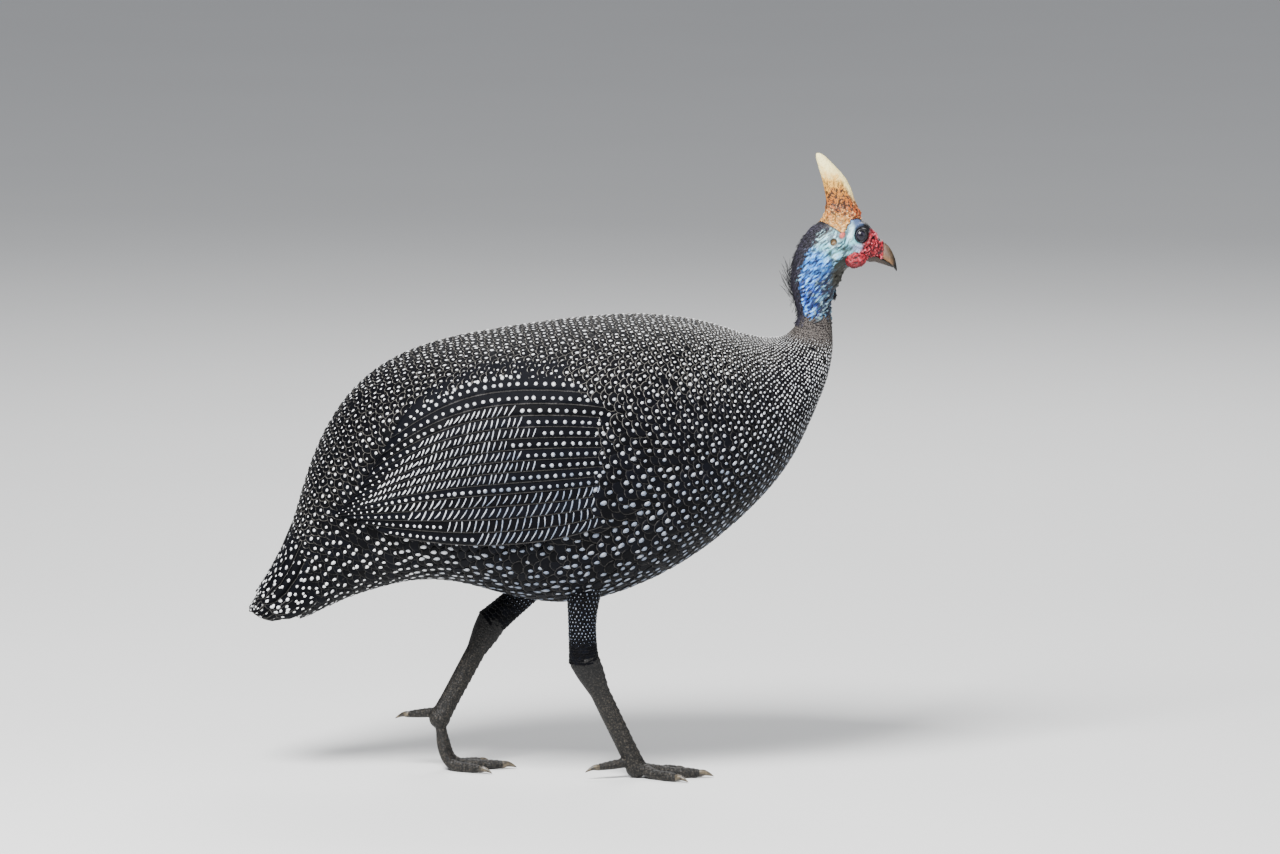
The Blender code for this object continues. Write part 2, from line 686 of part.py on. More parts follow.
def vane(loft, root, tip, width, lift, segments=4, side=LEFT):
    """A feather blade over a loft, from one (t, phi) to another, with a ridge for its shaft.

    Lift is its height over the loft at the root and at the tip.
    """
    u = np.linspace(0, 1, segments + 1)
    place = np.asarray(root) + (np.asarray(tip) - np.asarray(root)) * u[:, None]
    base = loft.flat_point(place[:, 0], place[:, 1])
    normal = loft.normal(place[:, 0], place[:, 1])
    across = np.cross(normal, np.gradient(base, axis=0))
    across /= np.linalg.norm(across, axis=-1, keepdims=True)
    half = width * MM / 2 * np.interp(u, VANE_PLACES, VANE_WIDTHS)
    height = (lift[0] + (lift[1] - lift[0]) * u) * MM
    top, bottom = [], []
    for v in (-1, 0, 1):
        sink = (half * v) ** 2 / (2 * loft.girth)
        ridge = VANE_RIDGE * MM * (1 - abs(v))
        centre = base + across * (half * v)[:, None]
        top.append(centre + normal * (height + ridge - sink)[:, None])
        bottom.append(centre + normal * (height - sink - VANE_THICKNESS * MM)[:, None])
    sides = np.array([1, side, 1])
    return plate_object("vane", np.stack(top, 1) * sides, np.stack(bottom, 1) * sides)


def wing_place(u, v):
    """The (t, phi) on the body of a place on the wing: u from shoulder to tip, v from low edge to high."""
    u, v = np.asarray(u, float), np.asarray(v, float)
    ends = []
    for edge in (WING_LOW_EDGE, WING_HIGH_EDGE):
        points = spline(edge)(u * (len(edge) - 1)) * MM
        ends.append(np.stack(BODY.locate(points[..., 0], points[..., 1]), axis=-1))
    return ends[0] + (ends[1] - ends[0]) * v[..., None]


def make_wing(side, material):
    """The folded wing: a plate that lies on the body, with flight feathers and two rows of coverts on it."""
    across, along = np.meshgrid(np.linspace(0, 1, 6), np.linspace(0, 1, 12))
    place = wing_place(along, across)
    edge = np.minimum(np.minimum(across, 1 - across) * 4, np.minimum(along, 1 - along) * 8)
    thick = (WING_CORE["rim"] + WING_CORE["rise"] * np.minimum(edge, 1.0)) * MM
    sunk = np.full(thick.shape, -WING_CORE["sunk"] * MM)
    sides = np.array([1, side, 1])
    top = BODY.point(place[..., 0], place[..., 1], thick) * sides
    bottom = BODY.point(place[..., 0], place[..., 1], sunk) * sides
    wing = plate_object(f"wing_{SIDE_NAMES[side]}", top, bottom)
    vanes = []
    for row in WING_ROWS:
        for i in range(row["count"]):
            share = i / (row["count"] - 1)
            start, end = (
                wing_place(*(np.interp(share, (0, 1), ends) for ends in row[key])) for key in ("root", "tip")
            )
            vanes.append(vane(BODY, start, end, row["width"], row["lift"], row["segments"], side))
    boolean(wing, vanes, "UNION", "MANIFOLD")
    boolean(wing, [torso_cover()], "DIFFERENCE", "MANIFOLD")
    return finish(wing, material)


def make_tail(material):
    """The drooping tail: a core that ends early, tail feathers to the tip and two tiers of coverts."""
    tail = loft_object("tail", BODY, TAIL_START, TAIL_CORE_END, 7, 16)
    vanes = []
    for row in TAIL_ROWS:
        for i in range(row["count"]):
            turn = row["spread"] * (2 * i / (row["count"] - 1) - 1)
            tip = (row["tip"] - row["droop"] * turn**2, turn * TAIL_GATHER)
            vanes.append(vane(BODY, (row["root"], turn), tip, row["width"], row["lift"], row["segments"]))
    boolean(tail, vanes, "UNION", "MANIFOLD")
    reach = TAIL_START - TAIL_CLEAR_REACH
    ahead = loft_object("ahead", BODY, reach, TAIL_START, 20, 28, TAIL_CLEAR * MM)
    boolean(tail, [ahead], "DIFFERENCE", "MANIFOLD")
    return finish(tail, material)


def plate_object(name, top, bottom):
    """A closed plate between two grids of points, split into triangles alike on both faces."""
    rows, columns = top.shape[:2]
    count = rows * columns
    index = np.arange(count).reshape(rows, columns)
    a, b, c, d = index[:-1, :-1], index[1:, :-1], index[1:, 1:], index[:-1, 1:]
    upper = np.concatenate([np.stack([a, b, c], -1).reshape(-1, 3), np.stack([a, c, d], -1).reshape(-1, 3)])
    rim = np.concatenate([index[0, :-1], index[:-1, -1], index[-1, :0:-1], index[:0:-1, 0]])
    after = np.roll(rim, -1)
    walls = [np.stack([rim, after, after + count], -1), np.stack([rim, after + count, rim + count], -1)]
    verts = np.concatenate([top.reshape(-1, 3), bottom.reshape(-1, 3)])
    return new_object(name, verts, np.concatenate([upper, upper[:, ::-1] + count, *walls]))


def main():
    for obj in list(bpy.data.objects):
        bpy.data.objects.remove(obj)
    materials = {
        "plumage": make_material("plumage", (0.03, 0.03, 0.034), 0.7),
        "skin": make_material("bare_skin", (0.08, 0.25, 0.5), 0.55),
        "casque": make_material("casque", (0.55, 0.3, 0.12), 0.5),
        "bill": make_material("bill", (0.35, 0.25, 0.16), 0.4),
        "wattle": make_material("wattle", (0.5, 0.03, 0.04), 0.5),
        "eye": make_material("eye", (0.015, 0.012, 0.012), 0.08),
        "leg": make_material("leg_scales", (0.06, 0.05, 0.045), 0.6),
        "claw": make_material("claw", (0.05, 0.045, 0.04), 0.4),
    }
    make_torso(materials["plumage"])
    make_neck(materials["skin"])
    make_head(materials["skin"])
    make_bill(materials["bill"])
    make_casque(materials["casque"])
    for side in (RIGHT, LEFT):
        make_eye(side, materials["eye"])
        make_wattle(side, materials["wattle"])
        make_leg(side, materials)
        make_wing(side, materials["plumage"])
    make_tail(materials["plumage"])


main()
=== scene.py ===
"""The looks of a helmeted guinea fowl in mid-stride: bare skin, horn, eyes and every tract of feathers.

Metres, +Z up, +X towards the bill and +Y the bird's left, as in the frame. Tables that describe the
bird are in millimetres, turned to metres by MM. A place on the body is (t, phi): t counts the upright
sections from the root of the bill to the tip of the tail, and phi runs from 0 on the back to pi under
the belly, positive on the bird's left and negative on its right.
"""

import logging
import math
from dataclasses import dataclass, field
from enum import Enum
from typing import Sequence

import bpy
import numpy as np
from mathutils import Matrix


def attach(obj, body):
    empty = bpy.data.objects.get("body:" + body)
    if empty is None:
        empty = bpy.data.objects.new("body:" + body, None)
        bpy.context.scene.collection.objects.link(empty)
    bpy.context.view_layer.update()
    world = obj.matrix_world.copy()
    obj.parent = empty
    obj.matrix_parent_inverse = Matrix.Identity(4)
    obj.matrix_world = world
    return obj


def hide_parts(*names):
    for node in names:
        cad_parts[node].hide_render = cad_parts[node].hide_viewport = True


LOG = logging.getLogger("guinea_fowl")
Array = np.ndarray
Colour = tuple[float, float, float, float]
Triple = tuple[float, float, float]
Pairs = Sequence[tuple[float, float]]
Rows = Sequence[Sequence[float]]
Material, Piece, Socket = bpy.types.Material, bpy.types.Object, bpy.types.NodeSocket

MM = 0.001
BAKE_MAP = "OFBake"
CELL_MAP = "Cell"
TINT = "tint"
GROUND = "ground"
TONE = "tone"

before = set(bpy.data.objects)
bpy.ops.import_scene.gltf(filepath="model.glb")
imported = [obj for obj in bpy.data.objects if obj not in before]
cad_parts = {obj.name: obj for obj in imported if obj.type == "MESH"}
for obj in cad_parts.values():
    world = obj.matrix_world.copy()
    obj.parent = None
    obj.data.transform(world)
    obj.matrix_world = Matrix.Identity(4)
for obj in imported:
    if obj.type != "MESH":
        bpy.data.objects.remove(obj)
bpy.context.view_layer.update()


class Side(Enum):
    """The two sides of the bird, with the sign of Y on each."""

    RIGHT = -1
    LEFT = 1

    @property
    def word(self) -> str:
        """The side's name, as nodes spell it."""
        return self.name.lower()


class Mark(Enum):
    """What a stretch of a wing feather carries."""

    LONG_BARS = "long bars"
    BARS = "bars"
    DOTS = "dots"


def srgb(red: float, green: float, blue: float) -> Colour:
    """Turns a colour as the eye names it, 0 to 255, into the linear values that shaders take."""
    values = [v / 255 for v in (red, green, blue)]
    return tuple(v / 12.92 if v <= 0.04045 else ((v + 0.055) / 1.055) ** 2.4 for v in values) + (1.0,)


def ease(value: Array | float, low: float, high: float) -> Array:
    """A smooth step: 0 below low, 1 above high, and 3s^2 - 2s^3 of the share s between them."""
    share = np.clip((np.asarray(value, float) - low) / (high - low), 0, 1)
    return share * share * (3 - 2 * share)


def turns(count: int, start: float = 0.0) -> Array:
    """Angles that go once round from start in so many equal steps."""
    return np.linspace(start, start + 2 * math.pi, count, endpoint=False)


def grid(*axes: Array) -> list[Array]:
    """The axes' numbers in every combination, the first axis running down the rows."""
    return np.meshgrid(*axes, indexing="ij")


def alike(*values: Array | float) -> list[Array]:
    """The values as floats, all in one shape."""
    return np.broadcast_arrays(*(np.asarray(value, float) for value in values))


def unit(vectors: Array) -> Array:
    """The vectors at length 1."""
    return vectors / (np.linalg.norm(vectors, axis=-1, keepdims=True) + 1e-12)


def ball(rows: int, columns: int, hole: float) -> tuple[Array, Array]:
    """Points of a unit ball about the Y axis, and their angle from it.

    Args:
        rows: Rings about the axis.
        columns: Points on each ring.
        hole: How far from the axis, as an angle, the end rings stand.

    Returns:
        Points and angles.
    """
    polar, around = grid(np.linspace(hole, math.pi - hole, rows), turns(columns))
    out = np.sin(polar)
    return np.stack([out * np.cos(around), np.cos(polar), out * np.sin(around)], -1), polar


def grain(points: Array, lengths: Sequence[float], seed: int, lean: float = 0.0) -> Array:
    """A smooth random field: a sum of 36 cosine waves with seeded directions, of about unit size.

    Args:
        points: Places in metres.
        lengths: Wavelengths in millimetres along the turned x, y and z.
        seed: Seed of the draw.
        lean: Turn of x and z in the side plane, in degrees.

    Returns:
        One value for each place.
    """
    rng, waves = np.random.default_rng(seed), 36
    c, s = math.cos(math.radians(lean)), math.sin(math.radians(lean))
    x, y, z = points.reshape(-1, 3).T / MM
    turned = np.stack([x * c + z * s, y, z * c - x * s], 1)
    pull = rng.normal(size=(waves, 3)) / np.asarray(lengths, float) * 2 * math.pi / 1.6
    phase = rng.uniform(0, 2 * math.pi, waves)
    return (np.cos(turned @ pull.T + phase).sum(1) * math.sqrt(2 / waves)).reshape(points.shape[:-1])


class Spline:
    """A natural cubic spline through rows of numbers that stand at whole places from 0."""

    def __init__(self, rows: Rows | Array) -> None:
        """Solves the second derivatives.

        Args:
            rows: What it passes through.
        """
        self.rows = np.asarray(rows, float)
        count = len(self.rows)
        matrix, right, inner = np.eye(count), np.zeros_like(self.rows), np.arange(1, count - 1)
        matrix[inner, inner - 1] = matrix[inner, inner + 1] = 1
        matrix[inner, inner] = 4
        right[inner] = 6 * (self.rows[inner - 1] - 2 * self.rows[inner] + self.rows[inner + 1])
        self.bend = np.linalg.solve(matrix, right)

    def __call__(self, place: Array | float) -> Array:
        """The row at each place.

        Args:
            place: Places along the spline.

        Returns:
            Rows, on an axis after the places' own.
        """
        place = np.asarray(place, float)
        i = np.clip(np.floor(place).astype(int), 0, len(self.rows) - 2)
        f, g = (place - i)[..., None], (i + 1 - place)[..., None]
        curved = ((f**3 - f) * self.bend[i + 1] + (g**3 - g) * self.bend[i]) / 6
        return self.rows[i] * g + self.rows[i + 1] * f + curved


class Form:
    """A surface with a place (t, phi) for every point: t runs along it, and phi round it."""

    turn = 1.0

    def flat_point(self, t: Array, phi: Array) -> Array:
        """The point of the bare form at a place."""
        raise NotImplementedError

    def face_out(self, t: float) -> None:
        """Settles the sign of the normal, so that it points away from the middle of the section at t.

        Args:
            t: Where the section is plain.
        """
        ring = self.flat_point(t, turns(16))
        out = ((ring - ring.mean(0)) * self.normal(t, turns(16))).sum()
        self.turn *= np.sign(out)

    def normal(self, t: Array, phi: Array) -> Array:
        """The outward normal: the cross product of the steps along and round, made unit length."""
        return unit(np.cross(*self.steps(t, phi))) * self.turn

    def steps(self, t: Array, phi: Array) -> tuple[Array, Array]:
        """How the point moves for a unit of t and for a unit of phi, by central differences.

        Args:
            t: Places along.
            phi: Places round.

        Returns:
            The two tangent vectors.
        """
        step = 0.01
        t, phi = alike(t, phi)
        along = self.flat_point(t + step, phi) - self.flat_point(t - step, phi)
        around = self.flat_point(t, phi + step) - self.flat_point(t, phi - step)
        return along / (2 * step), around / (2 * step)

    def point(self, t: Array, phi: Array, height: Array | float) -> Array:
        """The point at a place, lifted off the form by height along the normal."""
        return self.flat_point(t, phi) + self.normal(t, phi) * np.asarray(height)[..., None]


class Loft(Form):
    """A form drawn through upright sections, each from a dorsal point to a ventral one.

    A point is the section's middle plus (top - bottom) / 2 times cos(phi) + shift sin(phi)^2 in the
    side plane, and Y is the half width times (sin(phi) + fullness sin(3 phi)) / (1 - fullness).
    """

    def __init__(self, sections: Rows, fullness: Sequence[float] | float,
                 shift: Sequence[float] | float = 0.0) -> None:
        """Draws the splines through the sections.

        Args:
            sections: Dorsal x and z, ventral x and z and half width, in millimetres.
            fullness: How square the sections are, all alike or one by one.
            shift: How far up they are widest, likewise.
        """
        rows = np.asarray(sections, float) * MM
        extra = np.stack([np.broadcast_to(np.asarray(v, float), len(rows)) for v in (fullness, shift)], 1)
        self.curve = Spline(np.concatenate([rows, extra], 1))
        self.last = len(rows) - 1
        self.face_out(self.last / 2)

    def flat_point(self, t: Array, phi: Array) -> Array:
        """The point of the bare loft at a place, by the formula above."""
        t, phi = alike(t, phi)
        row = self.curve(t)
        top, bottom, full = row[..., 0:2], row[..., 2:4], row[..., 5]
        rise = np.cos(phi) + row[..., 6] * np.sin(phi) ** 2
        swell = (np.sin(phi) + full * np.sin(3 * phi)) / (1 - full)
        flat = (top + bottom) / 2 + (top - bottom) / 2 * rise[..., None]
        return np.stack([flat[..., 0], row[..., 4] * swell, flat[..., 1]], axis=-1)

    def locate(self, x: Array, z: Array, low: float, high: float) -> tuple[Array, Array]:
        """The place whose point is seen at x, z from the side, with phi from 0 to pi.

        The section is found by halving t, and cos(phi) by solving the rise's quadratic.

        Args:
            x: Places along X, in metres.
            z: Heights, in metres.
            low: Lowest t that is looked at.
            high: Highest t that is looked at.

        Returns:
            t and phi.
        """
        x, z, low, high = alike(x, z, low, high)
        for _ in range(36):
            middle = (low + high) / 2
            row = self.curve(middle)
            down_x, down_z = row[..., 2] - row[..., 0], row[..., 3] - row[..., 1]
            behind = down_x * (z - row[..., 1]) - down_z * (x - row[..., 0]) < 0
            low, high = np.where(behind, middle, low), np.where(behind, high, middle)
        row = self.curve(low)
        axis = row[..., 0:2] - row[..., 2:4]
        offset = np.stack([x, z], axis=-1) - (row[..., 0:2] + row[..., 2:4]) / 2
        rise = 2 * (offset * axis).sum(-1) / (axis**2).sum(-1)
        shift = np.where(np.abs(row[..., 6]) < 1e-6, 1e-6, row[..., 6])
        cosine = (1 - np.sqrt(np.maximum(1 - 4 * shift * (rise - shift), 0))) / (2 * shift)
        return low, np.arccos(np.clip(cosine, -1, 1))


class Tube(Form):
    """A round form along a path: a point is the path's plus the radius times (across cos + up sin)."""

    def __init__(self, path: Rows, radii: Sequence[float], squash: float = 1.0) -> None:
        """Draws the splines through path and radii.

        Args:
            path: Points of the axis, in metres.
            radii: Radius at each, in metres.
            squash: Width as a share of the depth.
        """
        self.curve = Spline(np.concatenate([np.asarray(path, float), np.asarray(radii, float)[:, None]], 1))
        self.last, self.squash = len(path) - 1, squash
        self.face_out(self.last / 2)

    def axes(self, t: Array) -> tuple[Array, Array, Array]:
        """Directions ahead, across and up at places along the path.

        Args:
            t: Places along.

        Returns:
            Three arrays of unit vectors.
        """
        ahead = unit(self.curve(t + 0.01)[..., :3] - self.curve(t - 0.01)[..., :3])
        across = unit(np.array([0.0, 1.0, 0.0]) - ahead * ahead[..., 1:2])
        return ahead, across, np.cross(across, ahead)

    def flat_point(self, t: Array, phi: Array) -> Array:
        """The point of the bare tube at a place; phi 0 is its left side, and pi / 2 its front."""
        t, phi = alike(t, phi)
        row = self.curve(t)
        _, across, up = self.axes(t)
        spoke = across * (np.cos(phi) * self.squash)[..., None] + up * np.sin(phi)[..., None]
        return row[..., :3] + spoke * row[..., 3:4]


def wrap_faces(rows: int, columns: int) -> tuple[Array, Array]:
    """Quads of a grid whose columns close into rings.

    Args:
        rows: How many rings.
        columns: Points on each ring.

    Returns:
        Faces, and each corner's row and column, which runs on past the seam.
    """
    i, j = grid(np.arange(rows - 1), np.arange(columns))
    row = np.stack([i, i, i + 1, i + 1], -1).reshape(-1, 4)
    column = np.stack([j, j + 1, j + 1, j], -1).reshape(-1, 4)
    return row * columns + column % columns, np.stack([row, column], -1)


class Stock:
    """Gathers the points and faces of many surfaces, and makes one object of them."""

    def __init__(self, name: str) -> None:
        """Starts empty.

        Args:
            name: The piece's name.
        """
        self.name, self.count = name, 0
        self.points: list[Array] = []
        self.faces: list[Array] = []
        self.slots: list[Array] = []
        self.values: dict[str, list[Array]] = {}
        self.maps: dict[str, list[Array]] = {}

    def add(self, points: Array, faces: Array, values: dict[str, Array] | None = None,
            maps: dict[str, Array] | None = None, slot: int = 0, closed: bool = True) -> None:
        """Adds one surface, or many alike.

        Args:
            points: Points, shape (n, 3).
            faces: Indices into them, shape (m, 3) or (m, 4).
            values: Numbers or colours for each point.
            maps: Map places for each face corner or for each point.
            slot: The material's place.
            closed: Whether the sign of the volume tells which way the faces look.
        """
        points = np.asarray(points, float).reshape(-1, 3)
        faces = np.asarray(faces, np.int64)
        maps = {key: (m if m.ndim == 3 else m[faces]) for key, m in (maps or {}).items()}
        if closed:
            a, b, c = (points[faces[:, k]] for k in range(3))
            volume = (a * np.cross(b, c)).sum()
            if faces.shape[1] == 4:
                volume += (a * np.cross(c, points[faces[:, 3]])).sum()
            if volume < 0:
                faces = faces[:, ::-1]
                maps = {key: m[:, ::-1] for key, m in maps.items()}
        self.points.append(points)
        self.faces.append(faces + self.count)
        self.slots.append(np.full(len(faces), slot))
        self.count += len(points)
        for key, value in (values or {}).items():
            self.values.setdefault(key, []).append(np.asarray(value, float))
        for key, value in maps.items():
            self.maps.setdefault(key, []).append(value.reshape(-1, 2))

    def make(self, materials: Sequence[Material]) -> Piece:
        """Puts everything into one mesh object at the origin.

        Args:
            materials: The materials that slots name.

        Returns:
            The object.
        """
        mesh = bpy.data.meshes.new(self.name)
        corners = np.concatenate([f.ravel() for f in self.faces])
        sizes = np.concatenate([np.full(len(f), f.shape[1]) for f in self.faces])
        starts = np.concatenate([[0], np.cumsum(sizes)[:-1]])
        mesh.vertices.add(self.count)
        mesh.loops.add(len(corners))
        mesh.polygons.add(len(sizes))
        for data, key, values, kind in (
                (mesh.vertices, "co", np.concatenate(self.points).ravel(), np.float32),
                (mesh.loops, "vertex_index", corners, np.int32),
                (mesh.polygons, "loop_start", starts, np.int32),
                (mesh.polygons, "material_index", np.concatenate(self.slots), np.int32),
                (mesh.polygons, "use_smooth", np.ones(len(sizes)), bool)):
            data.foreach_set(key, values.astype(kind))
        for key, parts in self.values.items():
            value = np.concatenate(parts)
            kind, slot = ("FLOAT_COLOR", "color") if value.ndim == 2 else ("FLOAT", "value")
            attribute = mesh.attributes.new(key, kind, "POINT")
            attribute.data.foreach_set(slot, value.astype(np.float32).ravel())
        for key in sorted(self.maps):
            layer = mesh.uv_layers.new(name=key)
            layer.data.foreach_set("uv", np.concatenate(self.maps[key]).astype(np.float32).ravel())
        mesh.update(calc_edges=True)
        for material in materials:
            mesh.materials.append(material)
        obj = bpy.data.objects.new(self.name, mesh)
        bpy.context.scene.collection.objects.link(obj)
        return obj


def settle(stock: Stock, materials: Sequence[Material], slot: str, *nodes: str) -> None:
    """Makes a piece, and says what it rides on, takes its finish from and stands for.

    Args:
        stock: The piece.
        materials: Its finishes.
        slot: Not used.
        nodes: CAD nodes that it replaces.
    """
    obj = stock.make(materials)
    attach(obj, "root")
    if nodes:
        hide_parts(*nodes)
    LOG.info("%s: %d faces, for %s", obj.name, len(obj.data.polygons), ", ".join(nodes) or "itself")


class Bench:
    """A material's node tree, with short ways to add and join its nodes."""

    def __init__(self, name: str, **shader: float | Colour) -> None:
        """Makes the material and sets what is the same all over it.

        Args:
            name: The material's name.
            shader: Values of the shader's own sockets, with _ for a space.
        """
        self.material = bpy.data.materials.new(name)
        self.material.use_nodes = True
        self.tree = self.material.node_tree
        self.shader = self.tree.nodes["Principled BSDF"]
        for key, value in shader.items():
            self.shader.inputs[key.replace("_", " ")].default_value = value
        self.place = self.add("ShaderNodeTexCoord").outputs["Object"]

    def add(self, kind: str, inputs: dict | None = None, **settings: object) -> bpy.types.Node:
        """Adds a node.

        Args:
            kind: The node's type.
            inputs: Values or sockets for its inputs, by name or number.
            settings: The node's own settings.

        Returns:
            The node.
        """
        node = self.tree.nodes.new(kind)
        for key, value in settings.items():
            setattr(node, key, value)
        for key, value in (inputs or {}).items():
            self.put(node.inputs[key], value)
        return node

    def put(self, socket: Socket, value: object) -> None:
        """Joins a socket to another, or gives it a value."""
        if isinstance(value, Socket):
            self.tree.links.new(value, socket)
        else:
            socket.default_value = value

    def set(self, key: str, value: object) -> None:
        """Joins or sets one of the shader's own sockets."""
        self.put(self.shader.inputs[key], value)

    def attribute(self, name: str, output: str = "Fac") -> Socket:
        """A value that the mesh holds for each point."""
        return self.add("ShaderNodeAttribute", attribute_name=name).outputs[output]

    def math(self, operation: str, a: object, b: object = 0.0, clamp: bool = False) -> Socket:
        """One sum on two numbers."""
        return self.add("ShaderNodeMath", {0: a, 1: b}, operation=operation, use_clamp=clamp).outputs[0]

    def plus(self, a: object, b: object, clamp: bool = False) -> Socket:
        """The sum of two numbers."""
        return self.math("ADD", a, b, clamp)

    def times(self, a: object, b: object) -> Socket:
        """The product of two numbers."""
        return self.math("MULTIPLY", a, b)

    def noise(self, size: float, detail: float, stretch: Sequence[float] | None = None,
              vector: Socket | None = None) -> Socket:
        """Soft noise whose lumps are about size millimetres.

        Args:
            size: Size of a lump, in millimetres.
            detail: How many finer layers it has.
            stretch: How much longer the lumps are along each axis.
            vector: The place that is read, or the object's own.

        Returns:
            A value that varies about 0.5.
        """
        vector = vector or self.place
        if stretch:
            scale = tuple(1 / s for s in stretch)
            vector = self.add("ShaderNodeMapping", {"Vector": vector, "Scale": scale}).outputs[0]
        inputs = {"Vector": vector, "Scale": 1 / (size * MM), "Detail": detail, "Roughness": 0.55}
        return self.add("ShaderNodeTexNoise", inputs).outputs["Fac"]

    def cells(self, size: float, feature: str = "F1") -> Socket:
        """Distance, as a share of a cell, in a pattern of cells about size millimetres across."""
        inputs = {"Vector": self.place, "Scale": 1 / (size * MM)}
        return self.add("ShaderNodeTexVoronoi", inputs, feature=feature).outputs["Distance"]

    def ramp(self, factor: Socket, *stops: tuple[float, Colour]) -> Socket:
        """Colours at places from 0 to 1.

        Args:
            factor: The value that is coloured.
            stops: Places and colours, in order.

        Returns:
            The colour.
        """
        node = self.add("ShaderNodeValToRGB", {"Fac": factor})
        elements = node.color_ramp.elements
        while len(elements) < len(stops):
            elements.new(0.5)
        for element, stop in zip(elements, stops):
            element.position, element.color = stop
        return node.outputs["Color"]

    def span(self, value: object, low: float, high: float, to_low: float = 0.0, to_high: float = 1.0
             ) -> Socket:
        """The value mapped from the span low to high on to_low to to_high, clamped."""
        inputs = {"Value": value, "From Min": low, "From Max": high, "To Min": to_low, "To Max": to_high}
        return self.add("ShaderNodeMapRange", inputs).outputs["Result"]

    def mix(self, factor: object, a: object, b: object, blend: str = "MIX") -> Socket:
        """Mixes two colours."""
        inputs = {0: factor, 6: a, 7: b}
        return self.add("ShaderNodeMix", inputs, data_type="RGBA", blend_type=blend).outputs[2]

    def split(self, vector: Socket) -> bpy.types.bpy_prop_collection:
        """The three numbers of a place."""
        return self.add("ShaderNodeSeparateXYZ", {0: vector}).outputs

    def bump(self, height: object, depth: float, strength: float = 0.6) -> None:
        """Roughens the normal by a height, as a share of a depth in millimetres."""
        inputs = {"Height": height, "Distance": depth * MM, "Strength": strength}
        self.set("Normal", self.add("ShaderNodeBump", inputs).outputs["Normal"])


@dataclass(frozen=True)
class PlumageFinish:
    """Feathers: black with a painted bluish sheen, and above with a fine broken grey fringe round each."""

    dark: Colour = srgb(3, 3, 5)
    bloom: Colour = srgb(13, 15, 23)
    grey: Colour = srgb(96, 90, 86)
    line: Colour = srgb(172, 168, 162)
    fringe: float = 0.1

    def make(self) -> Material:
        """Builds the material; the cell map holds how far a place is from the blade's tip and sides."""
        b = Bench("plumage", Roughness=0.55, Specular_IOR_Level=0.06)
        u, v, _ = b.split(b.add("ShaderNodeUVMap", uv_map=CELL_MAP).outputs["UV"])
        speckle = b.noise(0.8, 2.0)
        edge = b.plus(b.math("MINIMUM", u, v), b.span(speckle, 0.3, 0.7, -0.05, 0.05))
        ground, tone = b.attribute(GROUND), b.attribute(TONE)
        net = b.span(edge, self.fringe, self.fringe * 0.45)
        net = b.times(net, b.span(speckle, 0.36, 0.52, 0.25, 1.0))
        # painted sheen: a bluish lift of the black, by each feather's tone
        base = b.mix(b.span(tone, 0.0, 1.0, 0.05, 0.8), self.dark, self.bloom)
        wash = b.times(b.span(ground, 0.82, 1.3), b.span(speckle, 0.42, 0.6, 0.05, 0.95))
        colour = b.mix(wash, base, self.grey)
        colour = b.mix(b.times(net, ground), colour, self.line)
        b.set("Base Color", colour)
        inputs = {"Vector": b.place, "Scale": 900.0, "Distortion": 3.0, "Detail": 1.0}
        barbs = b.add("ShaderNodeTexWave", inputs, bands_direction="DIAGONAL").outputs["Fac"]
        b.bump(b.plus(b.times(barbs, 0.5), b.times(speckle, 0.5)), 0.25, 0.45)
        return b.material


@dataclass(frozen=True)
class SpotFinish:
    """The white of the spots and bars, greyed by painted shade low on the body."""

    white: Colour = srgb(252, 252, 252)
    shade: Colour = srgb(122, 132, 150)

    def make(self) -> Material:
        """Builds the material."""
        b = Bench("spot_white", Roughness=0.6, Specular_IOR_Level=0.3)
        x, _, z = b.split(b.place)
        # painted shade: greyer low on the body, fading out towards the tail, plus grey patches at random
        low = b.plus(b.times(b.span(z, 0.31, 0.21, 0.0, 0.9), b.span(x, -0.13, -0.05)),
                     b.span(b.noise(5.0, 2.0), 0.4, 0.65, -0.1, 0.3), True)
        b.set("Base Color", b.mix(low, self.white, self.shade))
        b.bump(b.noise(0.5, 2.0), 0.1, 0.3)
        return b.material


